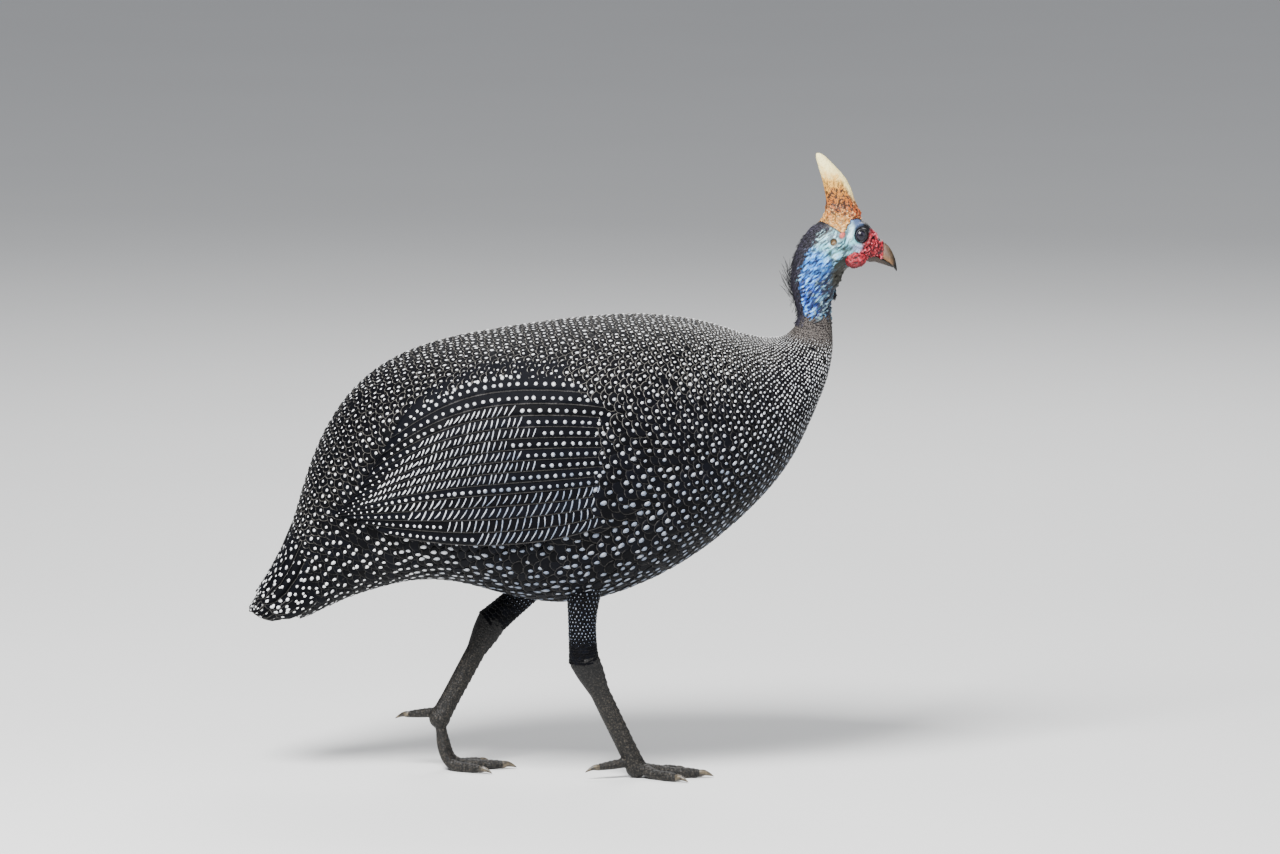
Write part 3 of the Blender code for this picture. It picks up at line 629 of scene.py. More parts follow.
@dataclass(frozen=True)
class SkinFinish:
    """Bare skin in the colours that the mesh holds, with fine pores and creases.

    Where the colours' alpha is under 1, dark and pale streaks run over the skin, the stronger the lower
    it is: they are noise drawn out along lines that climb forwards, bent by a coarser noise.
    """

    shadow: Colour = (0.02, 0.035, 0.08, 1.0)
    shine: Colour = srgb(128, 204, 250)
    climb: float = 46.0

    def make(self) -> Material:
        """Builds the material."""
        b = Bench("bare_skin", Roughness=0.5, Specular_IOR_Level=0.36, Subsurface_Weight=0.04)
        b.shader.inputs["Subsurface Radius"].default_value = (0.002, 0.001, 0.0006)
        tint = b.attribute(TINT, "Color")
        streaked = b.math("SUBTRACT", 1.0, b.attribute(TINT, "Alpha"), True)
        inputs = {"Vector": b.place, "Scale": 1 / (8 * MM), "Detail": 1.0}
        swirl = b.add("ShaderNodeTexNoise", inputs).outputs["Color"]
        inputs = {0: swirl, 1: (5 * MM, 5 * MM, 5 * MM), 2: b.place}
        bent = b.add("ShaderNodeVectorMath", inputs, operation="MULTIPLY_ADD").outputs[0]
        turn = (0.0, -math.radians(self.climb), 0.0)
        inputs = {"Vector": bent, "Rotation": turn, "Scale": (4.5, 2.0, 1.0)}
        lean = b.add("ShaderNodeMapping", inputs, vector_type="TEXTURE").outputs[0]
        streak = b.noise(1.5, 2.0, vector=lean)
        low = b.times(b.span(streak, 0.52, 0.44, 0.0, 0.96), streaked)
        high = b.times(b.span(streak, 0.57, 0.66, 0.0, 0.8), streaked)
        fine = b.noise(0.7, 3.0)
        colour = b.mix(b.span(fine, 0.42, 0.62, 0.0, 0.35), tint, b.mix(1.0, tint, tint, "MULTIPLY"))
        colour = b.mix(low, colour, b.mix(1.0, tint, self.shadow, "MULTIPLY"))
        b.set("Base Color", b.mix(high, colour, self.shine))
        creases = b.plus(b.cells(1.1), b.times(b.times(streak, streaked), 2.5))
        b.bump(b.plus(b.times(fine, 0.5), b.times(creases, 0.5)), 0.4, 0.6)
        return b.material


@dataclass(frozen=True)
class LegFinish:
    """Dark horny scales: brown-black plates with pale patches of painted highlight, and dark grooves between
    them.
    """

    plate: Colour = srgb(24, 23, 22)
    painted_highlight: Colour = srgb(74, 68, 60)
    groove: Colour = srgb(4, 4, 4)

    def make(self) -> Material:
        """Builds the material."""
        b = Bench("leg_scales", Roughness=0.5, Specular_IOR_Level=0.25)
        edge = b.cells(1.8, "DISTANCE_TO_EDGE")
        patch = b.noise(1.3, 3.0)
        # painted highlight: pale patches over the plates
        plate = b.mix(b.span(patch, 0.47, 0.68, 0.0, 0.8), self.plate, self.painted_highlight)
        plate = b.mix(b.span(edge, 0.02, 0.12), self.groove, plate)
        b.set("Base Color", b.mix(1.0, plate, b.attribute(TINT, "Color"), "MULTIPLY"))
        b.bump(b.span(edge, 0.0, 0.2), 0.35, 0.6)
        return b.material


@dataclass(frozen=True)
class CasqueFinish:
    """The bony helmet: ivory at the tip and down its front ridge, tan and orange below, with dark flecks
    that crowd its middle and a pale net of warts at its foot."""

    low: float = 386.0
    high: float = 438.6
    foot: Colour = srgb(196, 136, 62)
    orange: Colour = srgb(156, 80, 20)
    tan: Colour = srgb(180, 114, 34)
    straw: Colour = srgb(228, 174, 76)
    ivory: Colour = srgb(255, 240, 168)
    fleck: Colour = srgb(24, 11, 5)
    rust: Colour = srgb(190, 62, 26)
    wart: Colour = srgb(232, 196, 134)

    def make(self) -> Material:
        """Builds the material."""
        b = Bench("casque", Roughness=0.5, Specular_IOR_Level=0.4)
        x, _, z = b.split(b.place)
        height = b.plus(b.span(z, self.low * MM, self.high * MM),
                        b.span(b.noise(4.0, 4.0), 0.3, 0.7, -0.08, 0.08))
        colour = b.ramp(height, (0.0, self.foot), (0.14, self.foot), (0.3, self.orange), (0.48, self.tan),
                        (0.64, self.straw), (0.84, self.ivory), (1.0, self.ivory))
        ahead = b.plus(x, b.times(z, 0.52))
        ridge = b.times(b.span(ahead, 0.4055, 0.4082), b.span(z, 0.399, 0.409))
        colour = b.mix(b.times(ridge, 0.8), colour, self.ivory)
        front = b.times(b.span(x, 0.1915, 0.2005), b.span(z, 0.413, 0.396))
        colour = b.mix(b.times(front, 0.8), colour, self.rust)
        warts = b.times(b.span(b.cells(2.1), 0.46, 0.26), b.span(z, 0.405, 0.396, 0.0, 0.75))
        colour = b.mix(warts, colour, self.wart)
        flecks = b.math("MAXIMUM", b.span(b.noise(1.7, 2.0, (1.0, 1.0, 1.4)), 0.505, 0.55),
                        b.span(b.noise(0.9, 2.0), 0.55, 0.6))
        band = b.times(b.span(z, 0.4245, 0.4145, 0.0, 0.92), b.span(z, 0.388, 0.398, 0.55, 1.0))
        band = b.times(band, b.span(ridge, 0.0, 1.0, 1.0, 0.3))
        b.set("Base Color", b.mix(b.times(flecks, band), colour, self.fleck))
        b.bump(b.plus(b.noise(1.2, 3.0), b.times(flecks, -0.4)), 0.5, 0.55)
        return b.material


@dataclass(frozen=True)
class BillFinish:
    """Horn, pinkish grey at the root and dull brown ahead, tan above the mouth's dark line and dark below
    it; the root of the upper half is covered by the red warty skin, where the mesh's tint has an alpha."""

    horn: Colour = srgb(122, 100, 90)
    dull: Colour = srgb(70, 56, 38)
    tan: Colour = srgb(124, 90, 56)
    under: Colour = srgb(50, 37, 28)
    tip: Colour = srgb(16, 13, 9)

    def make(self) -> Material:
        """Builds the material; the mouth's line is where z + 0.754 x is 0.528."""
        b = Bench("bill", Roughness=0.38, Specular_IOR_Level=0.4)
        x, _, z = b.split(b.place)
        streaks = b.noise(1.4, 3.0, (1.0, 1.0, 3.0))
        horn = b.mix(b.plus(b.span(x, 0.2165, 0.2235), b.span(streaks, 0.3, 0.7, -0.3, 0.3), True),
                     self.horn, self.dull)
        level = b.plus(z, b.times(x, 0.754))
        height = b.plus(b.span(level, 0.518, 0.542), b.span(streaks, 0.3, 0.7, -0.03, 0.03))
        # the near-black stops at 0.4 to 0.44 are the mouth's line: partly the horn's dark edge, partly
        # painted shade where the two halves meet
        band = b.ramp(height, (0.0, self.under), (0.34, self.under), (0.4, self.tip), (0.44, self.tip),
                      (0.48, self.tan), (0.58, self.tan), (0.9, self.dull), (1.0, self.under))
        share = b.times(b.span(height, 0.5, 0.66), b.span(height, 0.94, 0.84))
        colour = b.mix(share, band, horn)
        ahead = b.math("SUBTRACT", x, b.times(z, 0.2))
        colour = b.mix(b.span(ahead, 0.1498, 0.1532), colour, self.tip)
        b.set("Base Color", b.mix(b.attribute(TINT, "Alpha"), colour, b.attribute(TINT, "Color")))
        b.bump(streaks, 0.16, 0.4)
        return b.material


@dataclass(frozen=True)
class EyeFinish:
    """A dark slate-brown eye with a black pupil and a wet surface."""

    iris: Colour = srgb(34, 32, 44)
    rim: Colour = srgb(6, 5, 8)
    pupil: Colour = srgb(18, 17, 24)

    def make(self) -> Material:
        """Builds the material, shaded by the distance from the eye's axis in the side plane."""
        b = Bench("eye", Roughness=0.22, Specular_IOR_Level=0.2, Coat_Weight=0.14, Coat_Roughness=0.04)
        x, _, z = b.split(b.place)
        side, up = (b.math("POWER", b.math("SUBTRACT", place, middle * MM), 2.0)
                    for place, middle in zip((x, z), EYE_AT))
        out = b.times(b.math("SQRT", b.plus(side, up)), 1 / (4.2 * MM))
        out = b.plus(out, b.span(b.noise(0.4, 2.0), 0.3, 0.7, -0.04, 0.04))
        stops = ((0.0, self.pupil), (0.3, self.pupil), (0.45, self.iris), (0.6, self.iris), (0.82, self.rim))
        b.set("Base Color", b.ramp(out, *stops))
        return b.material


@dataclass(frozen=True)
class HornFinish:
    """The claws: dark horn, paler towards the point and worn."""

    root: Colour = srgb(38, 34, 28)
    tip: Colour = srgb(104, 92, 72)

    def make(self) -> Material:
        """Builds the material."""
        b = Bench("claw", Roughness=0.4, Specular_IOR_Level=0.5)
        b.set("Base Color", b.mix(b.span(b.noise(3.0, 3.0), 0.42, 0.7), self.root, self.tip))
        b.bump(b.noise(0.8, 2.0, (3.0, 1.0, 1.0)), 0.12, 0.4)
        return b.material


@dataclass(frozen=True)
class HairFinish:
    """The short velvet and wisps of the nape, purplish black, with paler bristles as painted highlights."""

    dark: Colour = srgb(8, 7, 10)
    pale: Colour = srgb(74, 70, 88)

    def make(self) -> Material:
        """Builds the material."""
        b = Bench("nape_bristle", Roughness=0.6, Specular_IOR_Level=0.35)
        both = b.plus(b.attribute(TONE), b.span(b.noise(1.2, 2.0), 0.3, 0.7, -0.2, 0.2))
        # painted highlights: paler bristles, by each bristle's tone
        b.set("Base Color", b.mix(both, self.dark, self.pale))
        return b.material


@dataclass(frozen=True)
class FloorFinish:
    """A plain pale studio floor with a faint mottle."""

    pale: Colour = (0.78, 0.78, 0.77, 1.0)
    deep: Colour = (0.74, 0.74, 0.73, 1.0)

    def make(self) -> Material:
        """Builds the material."""
        b = Bench("floor", Roughness=0.85)
        b.set("Base Color", b.mix(b.noise(400.0, 2.0), self.pale, self.deep))
        return b.material


# Sections of the head, from the root of the bill round the crown to the nape.
# Each row: dorsal x, dorsal z, ventral x, ventral z, half width
HEAD_SECTIONS = (
    (215.4, 377.4, 210.6, 363.8, 7.6),
    (211.4, 382.6, 207.8, 363.8, 9.4),
    (206.4, 388.2, 204.8, 363.4, 11.4),
    (199.6, 392.8, 201.4, 362.6, 12.9),
    (190.0, 394.6, 198.0, 361.6, 13.5),
    (179.4, 393.6, 195.6, 360.4, 13.8),
    (170.6, 388.8, 193.8, 359.0, 14.0),
    (163.6, 381.2, 192.0, 357.6, 13.8),
    (159.0, 373.0, 190.4, 355.6, 13.3),
    (156.3, 365.8, 189.0, 352.8, 12.7),
)

# Sections of neck, body and tail, from below the nape to the tail tip
BODY_SECTIONS = (
    (153.6, 349.0, 184.0, 341.0, 12.4),
    (156.4, 335.0, 181.0, 331.5, 11.2),
    (158.4, 322.5, 181.4, 320.0, 10.6),
    (153.3, 313.7, 182.2, 308.0, 12.6),
    (145.6, 309.2, 181.6, 295.4, 18.0),
    (134.5, 308.4, 178.0, 279.5, 27.0),
    (118.5, 311.3, 170.8, 260.5, 38.5),
    (99.0, 317.6, 160.6, 237.6, 51.5),
    (75.0, 322.4, 146.6, 214.0, 64.0),
    (47.0, 324.6, 123.6, 188.0, 74.5),
    (15.0, 323.2, 91.0, 160.5, 81.0),
    (-20.0, 319.4, 49.0, 136.5, 84.0),
    (-57.0, 313.8, 0.0, 123.4, 83.5),
    (-92.0, 306.6, -45.0, 128.6, 79.5),
    (-124.0, 294.4, -82.0, 137.6, 71.5),
    (-150.0, 275.6, -112.0, 138.0, 61.0),
    (-169.0, 250.6, -131.0, 134.0, 50.0),
    (-181.5, 224.6, -146.5, 129.4, 41.5),
    (-190.0, 198.6, -162.0, 123.4, 35.5),
    (-198.0, 173.0, -177.0, 116.4, 31.5),
    (-208.0, 149.6, -192.0, 110.4, 28.0),
    (-219.0, 129.6, -208.0, 109.4, 23.5),
    (-226.0, 117.0, -219.5, 111.6, 16.0),
)
HEAD_END = float(len(HEAD_SECTIONS) - 1)
FULLNESS, SHIFT = (0.02, 0.05), (0.0, 0.06)

# Where the bare neck gives way to feathers
NECK_FEATHERS_FROM = HEAD_END + 2.75

# One loft from the bill's root to the tail's tip, so that skin and coat share one unwrap
BIRD = Loft(HEAD_SECTIONS + BODY_SECTIONS,
            *([head] * len(HEAD_SECTIONS) + [body] * len(BODY_SECTIONS) for head, body in (FULLNESS, SHIFT)))
EYE_AT = (201.8, 381.8)
EYE_SIDE, EYE_RADIUS = 8.3, 5.6


@dataclass(frozen=True)
class Blade:
    """The cut of one kind of feather: its outline, shaft and thickness, lengths in millimetres."""

    places: Sequence[float] = (0.0, 0.3, 0.55, 0.75, 0.9, 1.0)
    widths: Sequence[float] = (0.62, 0.9, 1.0, 0.93, 0.68, 0.2)
    columns: Sequence[float] = (-1.0, -0.5, 0.0, 0.5, 1.0)
    ridge: float = 0.16
    thickness: float = 0.35
    curl: float = 1.0

    def half_width(self, u: Array) -> Array:
        """The share of its half width that the blade has at u."""
        return np.interp(u, self.places, self.widths)


BODY_BLADE = Blade()
HAIR_BLADE = Blade((0.0, 0.5, 1.0), (1.0, 0.8, 0.08), (-1.0, 0.0, 1.0), 0.12, 0.16, 1.4)
TAIL_BLADE = Blade((0.0, 0.25, 0.5, 0.7, 0.85, 0.94, 1.0), (0.5, 0.75, 0.95, 1.0, 0.88, 0.6, 0.18),
                   ridge=0.35, thickness=0.45)


def lens_faces(count: int, rim: int) -> Array:
    """Triangles of many thin lenses, each with rim points, then a top and a bottom point."""
    j = np.arange(rim)
    k = (j + 1) % rim
    one = np.concatenate([np.stack([j, k, 0 * j + rim], 1), np.stack([k, j, 0 * j + rim + 1], 1)])
    return (one + (np.arange(count) * (rim + 2))[:, None, None]).reshape(-1, 3)


def bake_patch(form: Form, root: Array, u: Array, v: Array) -> Array:
    """Places on the bake map: a small patch at the root's share of the form's length and of a turn.

    Args:
        form: The form.
        root: Roots (t, phi).
        u: Places along the feather, 0 to 1.
        v: Places across it, -1 to 1.

    Returns:
        Map places.
    """
    patch = 0.003
    along = 0.02 + 0.95 * np.clip(root[..., 0] / form.last, 0, 1) + patch * u
    round_share = (root[..., 1] / (2 * math.pi) + 0.5) % 1.0
    return np.stack([along, 0.02 + 0.95 * round_share + patch * (v + 1) / 2], -1)


@dataclass
class Vanes:
    """Many feathers over one form, worked out together, each from its root (t, phi) to its tip.

    A feather's axis runs straight from root to tip. A point on it is the axis point plus across times v
    times the half width at u, lifted by root + (tip - root) u^curl plus the shaft's ridge times 1 - |v|,
    less (v half width)^2 / (2 girth), which bends the blade round the body. Widths, the lift of root and
    tip and the girth are in metres.
    """

    form: Form
    root: Array
    tip: Array
    width: Array | float
    lift: Array
    girth: Array | float
    blade: Blade = BODY_BLADE

    def __post_init__(self) -> None:
        """Measures the feathers, and gives each its own width and girth."""
        self.width, self.girth, _ = alike(self.width, self.girth, self.root[:, 0])
        root, tip = (self.form.flat_point(*place.T) for place in (self.root, self.tip))
        self.length = np.linalg.norm(tip - root, axis=1)

    def at(self, index: Array, u: Array, v: Array, rise: Array) -> Array:
        """Points on the upper face, by the formula above.

        Args:
            index: Which feather.
            u: Place from root to tip.
            v: Place across, -1 to 1.
            rise: Height over the face, in metres.

        Returns:
            Points.
        """
        index, u, v, rise = np.broadcast_arrays(index, u, v, rise)
        root, run = self.root[index], self.tip[index] - self.root[index]
        place = root + run * u[..., None]
        base = self.form.flat_point(place[..., 0], place[..., 1])
        normal = self.form.normal(place[..., 0], place[..., 1])
        ends = [self.form.flat_point(*np.moveaxis(place + run * step, -1, 0)) for step in (-0.03, 0.03)]
        across = unit(np.cross(normal, ends[1] - ends[0]))
        reach = self.width[index] / 2 * self.blade.half_width(u) * v
        lift = self.lift[index]
        rise = rise + lift[..., 0] + (lift[..., 1] - lift[..., 0]) * np.clip(u, 0, 1) ** self.blade.curl
        rise = rise + self.blade.ridge * MM * (1 - np.abs(v)) - reach**2 / (2 * self.girth[index])
        return base + across * reach[..., None] + normal * rise[..., None]

    def shells(self) -> tuple[Array, Array, Array, Array, Array]:
        """Closed thin blades: at each place a ring over the upper columns and back under the shaft.

        Returns:
            Points, faces, and each point's feather, u and v.
        """
        upper = np.array(self.blade.columns)
        ring_v = np.append(upper, 0.0)
        sink = np.append(np.zeros(len(upper)), -(self.blade.thickness + self.blade.ridge) * MM)
        count, rows, columns = len(self.width), len(self.blade.places), len(ring_v)
        index, u, ring = grid(np.arange(count), self.blade.places, np.arange(columns))
        points = self.at(index, u, ring_v[ring], sink[ring])
        walls, _ = wrap_faces(rows, columns)
        fan = np.array([(k, k + 1, k + 2, columns - 1) for k in range(0, columns - 2, 2)])
        one = np.concatenate([walls, fan[:, ::-1], fan + (rows - 1) * columns])
        faces = (one + (np.arange(count) * rows * columns)[:, None, None]).reshape(-1, 4)
        return points.reshape(-1, 3), faces, index.ravel(), u.ravel(), ring_v[ring].ravel()

    def pour(self, stock: Stock, tone: Array, ground: Array | None = None,
             cell: Array | None = None) -> None:
        """Adds the blades to a piece, with their maps and values.

        Args:
            stock: The piece.
            tone: One value for each feather.
            ground: How grey each is.
            cell: Length and width of what shows of each, in metres.
        """
        points, faces, index, u, v = self.shells()
        values = {TONE: tone[index]}
        maps = {BAKE_MAP: bake_patch(self.form, self.root[index], u, v)}
        if cell is not None:
            along = (1 - u) * self.length[index] / cell[index, 0]
            reach = (1 - np.abs(v)) * self.width[index] / 2 * self.blade.half_width(u) / cell[index, 1]
            maps[CELL_MAP] = np.stack([along, reach], -1)
            values[GROUND] = ground[index]
        stock.add(points, faces, values, maps)

    def spots(self, stock: Stock, index: Array, u: Array, v: Array, size: Array) -> None:
        """Adds thin white lenses on the upper faces, with a rim of 8 points, a top and a bottom.

        Args:
            stock: The piece.
            index: Which feather each is on.
            u: Place of its middle from root to tip.
            v: Place of its middle across.
            size: Half length and half width, in metres.
        """
        rim, rise = 8, 0.1
        round_u, round_v = (np.append(wave(turns(rim)), (0, 0)) for wave in (np.cos, np.sin))
        heights = np.append(np.full(rim, rise), (rise + 0.12, -0.15)) * MM
        half = self.width[index] / 2 * self.blade.half_width(u)
        grid_u = u[:, None] + size[:, 0:1] * round_u / self.length[index][:, None]
        grid_v = v[:, None] + size[:, 1:2] * round_v / half[:, None]
        points = self.at(index[:, None], grid_u, grid_v, heights[None])
        root = np.repeat(self.root[index], rim + 2, axis=0)
        patch = bake_patch(self.form, root, grid_u.ravel() * 0.5, np.clip(grid_v.ravel(), -1, 1))
        stock.add(points, lens_faces(len(index), rim), None, {BAKE_MAP: patch})


@dataclass
class WingMap:
    """The folded wing's patch on the body: u runs from shoulder to wing tip, v from low edge to high."""

    low_edge: Pairs = (
        (64.0, 214.0), (28.0, 192.0), (-22.0, 180.5), (-72.0, 177.0), (-120.0, 180.0), (-166.0, 187.0))
    high_edge: Pairs = (
        (66.0, 252.0), (40.0, 281.0), (-16.0, 290.0), (-74.0, 283.0), (-124.0, 251.0), (-169.0, 197.0))
    levels: Sequence[float] = (
        -0.03, 0.055, 0.135, 0.215, 0.29, 0.355, 0.422, 0.49, 0.558, 0.625, 0.692, 0.76, 0.83, 0.91, 1.0)
    ends: Sequence[float] = (0.86, 0.92, 0.95, 0.98, 1.0, 0.98, 0.96, 0.94, 0.92, 0.9, 0.88, 0.86, 0.83, 0.8)

    def __post_init__(self) -> None:
        """Draws the splines through the edges."""
        self.low, self.high = (Spline(np.array(edge) * MM) for edge in (self.low_edge, self.high_edge))

    def seen(self, u: Array, v: Array) -> Array:
        """The x and z of a place: the low edge's point plus v times the step to the high edge's."""
        last = len(self.low_edge) - 1
        low, high = self.low(np.asarray(u) * last), self.high(np.asarray(u) * last)
        return low + (high - low) * np.asarray(v)[..., None]

    def body_place(self, u: Array, v: Array, side: Side) -> Array:
        """The body's t and phi at a place of one wing, on a last axis."""
        t, phi = BIRD.locate(*np.moveaxis(self.seen(u, v), -1, 0), HEAD_END + 2, HEAD_END + 22)
        return np.stack([t, phi * side.value], -1)

    def point(self, u: Array, v: Array, height: Array, side: Side) -> Array:
        """A point of one wing, lifted off the body by a height in metres."""
        return BIRD.point(*np.moveaxis(self.body_place(u, v, side), -1, 0), height)

    def steps(self, u: Array, v: Array) -> tuple[Array, Array]:
        """How x, z moves for a unit of u and of v."""
        step = 0.01
        return ((self.seen(u + step, v) - self.seen(u - step, v)) / (2 * step),
                (self.seen(u, v + step) - self.seen(u, v - step)) / (2 * step))

    def moved(self, u: Array, v: Array, shift: Array) -> tuple[Array, Array]:
        """The place that a small shift in the side plane leads to, by the 2 x 2 inverse of the steps there.

        Args:
            u: Place along the wing.
            v: Place up the wing.
            shift: How far along x and z, in metres.

        Returns:
            u and v there.
        """
        (ax, az), (bx, bz), (x, z) = (np.moveaxis(w, -1, 0) for w in (*self.steps(u, v), shift))
        area = ax * bz - az * bx
        return u + (x * bz - z * bx) / area, v + (z * ax - x * az) / area

    def find(self, x: Array, z: Array) -> tuple[Array, Array]:
        """Where a point seen at x, z lies on the wing, from its middle by Newton steps."""
        u = v = np.full(x.shape, 0.5)
        for _ in range(8):
            u, v = self.moved(u, v, np.stack([x, z], -1) - self.seen(u, v))
            u, v = np.clip(u, -0.2, 1.1), np.clip(v, -1.5, 2.5)
        return u, v

    def end(self, v: Array) -> Array:
        """How far along the feathers reach at level v."""
        return np.interp(v, np.convolve(self.levels, (0.5, 0.5), "valid"), self.ends)


WING = WingMap()


@dataclass
class Tract:
    """A regular lay of feathers over a form: rows of tips, each row shifted by half a feather."""

    form: Form
    tips: Array
    columns: Array | int
    crowding: Array | float = 0.0
    rows_long: float = 2.7
    columns_wide: float = 1.75
    jitter: float = 0.17
    seed: int = 3
    root_lift: float = -0.45
    tip_lift: float = 0.1
    wing_cover: bool = False

    def lay(self) -> Vanes:
        """Places the feathers: phi = 2 pi q - crowding sin(2 pi q), with q even round each row.

        Returns:
            The feathers, without those that the wing hides.
        """
        rng = np.random.default_rng(self.seed)
        counts = np.zeros(len(self.tips), int) + self.columns
        row = np.repeat(np.arange(len(counts)), counts)
        column = np.arange(len(row)) - np.repeat(np.cumsum(counts) - counts, counts)
        noise = rng.uniform(-self.jitter, self.jitter, (len(row), 3))
        q = (column + 0.5 * (row % 2) + noise[:, 0]) / counts[row]
        crowding = (np.zeros(len(counts)) + self.crowding)[row]
        phi = 2 * math.pi * q - crowding * np.sin(2 * math.pi * q)
        phi = (phi + math.pi) % (2 * math.pi) - math.pi
        row_step = np.gradient(self.tips)[row]
        tip_t = self.tips[row] + (noise[:, 1] - self.sweep(self.tips[row]) * np.abs(phi)) * row_step
        along, around = (np.linalg.norm(s, axis=-1) for s in self.form.steps(tip_t, phi))
        self.pitch = row_step * along
        self.spacing = around * 2 * math.pi / counts[row] * (1 - crowding * np.cos(2 * math.pi * q))
        root_t = tip_t - self.rows_long * row_step
        tip, root = np.stack([tip_t, phi], 1), np.stack([root_t, phi], 1)
        lift = np.stack([self.depth(root_t) * self.root_lift, self.depth(tip_t) * self.tip_lift], 1) * MM
        lift[:, 1] += noise[:, 2] * 0.35 * MM * self.depth(tip_t) / self.depth(tip_t).max()
        girth = np.maximum(around, 5 * MM)
        keep = self.over_wing(root, tip, lift) if self.wing_cover else np.ones(len(row), bool)
        self.pitch, self.spacing = self.pitch[keep], self.spacing[keep]
        width = self.columns_wide * self.spacing
        return Vanes(self.form, root[keep], tip[keep], width, lift[keep], girth[keep])

    def depth(self, t: Array) -> Array:
        """How deep the coat is at t, in millimetres."""
        return np.ones_like(t)

    def sweep(self, t: Array) -> Array:
        """By how many rows a row runs forwards for each radian down the side."""
        return np.zeros_like(t)

    def over_wing(self, root: Array, tip: Array, lift: Array) -> Array:
        """Lifts the feathers that lie over the shoulder of the wing, and finds those that it hides.

        Args:
            root: Places of the roots.
            tip: Places of the tips.
            lift: Heights at root and tip, which are changed.

        Returns:
            Whether each feather shows.
        """
        hidden = np.ones(len(root), bool)
        for place, end in ((root, 0), (tip, 1)):
            seen = self.form.flat_point(*place.T)
            u, v = WING.find(seen[:, 0], seen[:, 2])
            under = 1 - ease(v, 1.0, 1.2)
            front = ease(u, -0.05, 0.25) * (1 - ease(u, 0.3, 0.4)) * ease(v, -0.12, 0.1) * under
            top = ease(v, 0.82, 0.92) * under * ease(u, 0.05, 0.25) * (1 - ease(u, 0.7, 0.85))
            lift[:, end] += np.maximum(2.2 * front, 1.4 * top) * MM
            front = 0.225 + 0.03 * np.sin(19 * v) + 0.02 * np.sin(47 * v + 1)
            hidden &= (u > front) & (u < WING.end(v) - 0.03) & (v > 0.05) & (v < 0.9)
        return ~hidden


class BodyTract(Tract):
    """The coat from the neck's base to the tail coverts, deeper on the body than on the neck."""

    def sweep(self, t: Array) -> Array:
        """By how many rows a row runs forwards for each radian down the side: none on neck and tail."""
        return 0.6 * ease(t, HEAD_END + 5.5, HEAD_END + 9) * (1 - ease(t, HEAD_END + 17, HEAD_END + 21))

    def depth(self, t: Array) -> Array:
        """0.5 mm at the neck's base, deepening to 2.2 mm on the body."""
        return 0.5 + 1.7 * ease(t, HEAD_END + 3, HEAD_END + 8)


@dataclass
class Spotting:
    """How a tract's spots are set out: one near the tip of each feather, in the middle of what shows.

    A spot's half width is least, in millimetres, plus share of what shows of its feather. It stands away
    rows from the tip, is longer than wide by stretch, and skip of the feathers have none.
    """

    least: float = 0.2
    share: float = 0.14
    stretch: float = 1.15
    away: float = 0.6
    skip: float = 0.02
    seed: int = 11

    def dot(self, tract: Tract, vanes: Vanes, stock: Stock, fade: Array | float = 1.0) -> None:
        """Sets the spots.

        Args:
            tract: The tract.
            vanes: Its feathers.
            stock: The piece that takes the spots.
            fade: Each spot's share of its full size; none is set under a quarter.
        """
        rng = np.random.default_rng(self.seed)
        fade = np.broadcast_to(fade, len(vanes.width))
        t, phi = vanes.tip.T
        below = ease(t, HEAD_END + 10, HEAD_END + 13) * ease(np.abs(phi), 1.3, 2.0) * tract.wing_cover
        index = np.flatnonzero((rng.uniform(size=len(fade)) > self.skip + 0.12 * below) & (fade > 0.25))
        noise = rng.normal(size=(len(index), 4))
        small = np.minimum(tract.pitch * 1.1, tract.spacing)[index]
        loose = (0.07 + 0.07 * below[index]) * small
        u = 1 - (self.away * tract.pitch[index] + loose * noise[:, 0]) / vanes.length[index]
        half = vanes.width[index] / 2 * vanes.blade.half_width(u)
        v = loose * noise[:, 1] / half
        under = ease(np.abs(vanes.root[index, 1]), 1.4, 2.2)
        back = 1 - ease(np.abs(vanes.root[index, 1]), 0.5, 1.3)
        size = (self.least * MM + self.share * small) * (1 + 0.14 * noise[:, 2]) * fade[index]
        size *= 1 + 0.06 * under - 0.15 * back + 0.26 * below[index]
        stretch = (self.stretch + 0.2 * under + 0.2 * back) * (1 + 0.14 * noise[:, 3])
        vanes.spots(stock, index, u, v, np.stack([size * stretch, size], 1))


@dataclass
class Strip:
    """One long feather of the folded wing: the levels v that it shows between, and where it runs."""

    low: float
    high: float
    start: float
    end: float
    bars: tuple[float, float] | None
    mark: Mark
    hidden: float = 0.1
    base: float = 2.0
    tilt: float = 2.0

    @property
    def tall(self) -> float:
        """How much of v the feather spans, with what the next one hides."""
        return self.high + self.hidden - self.low

    def place(self, u: Array, w: Array) -> tuple[Array, Array]:
        """The wing's u and v of a place on the feather, whose end is rounded off.

        Args:
            u: Place along the wing.
            w: Place across the feather, 0 at its free edge and 1 under the next.

        Returns:
            u and v on the wing.
        """
        v = self.low + self.tall * w
        axis = self.low + 0.35 * (self.high - self.low)
        share = np.clip((u - self.end + 0.12) / 0.12, 0, 0.995)
        return u, axis + (v - axis) * np.sqrt(1 - share**2)

    def height(self, u: Array, w: Array) -> Array:
        """Height over the body: base plus tilt times 1 - w, low at the shoulder, with rounded edges."""
        rounded = 0.35 * (1 - np.clip(np.minimum(w, 1 - w) * 8, 0, 1)) ** 2
        fall = 1 - 0.6 * ease(self.low + self.tall * w, 0.78, 1.0)
        raised = (self.base + self.tilt * (1 - w)) * ease(u, 0.12, 0.4) * fall
        return (0.4 + raised - rounded) * MM


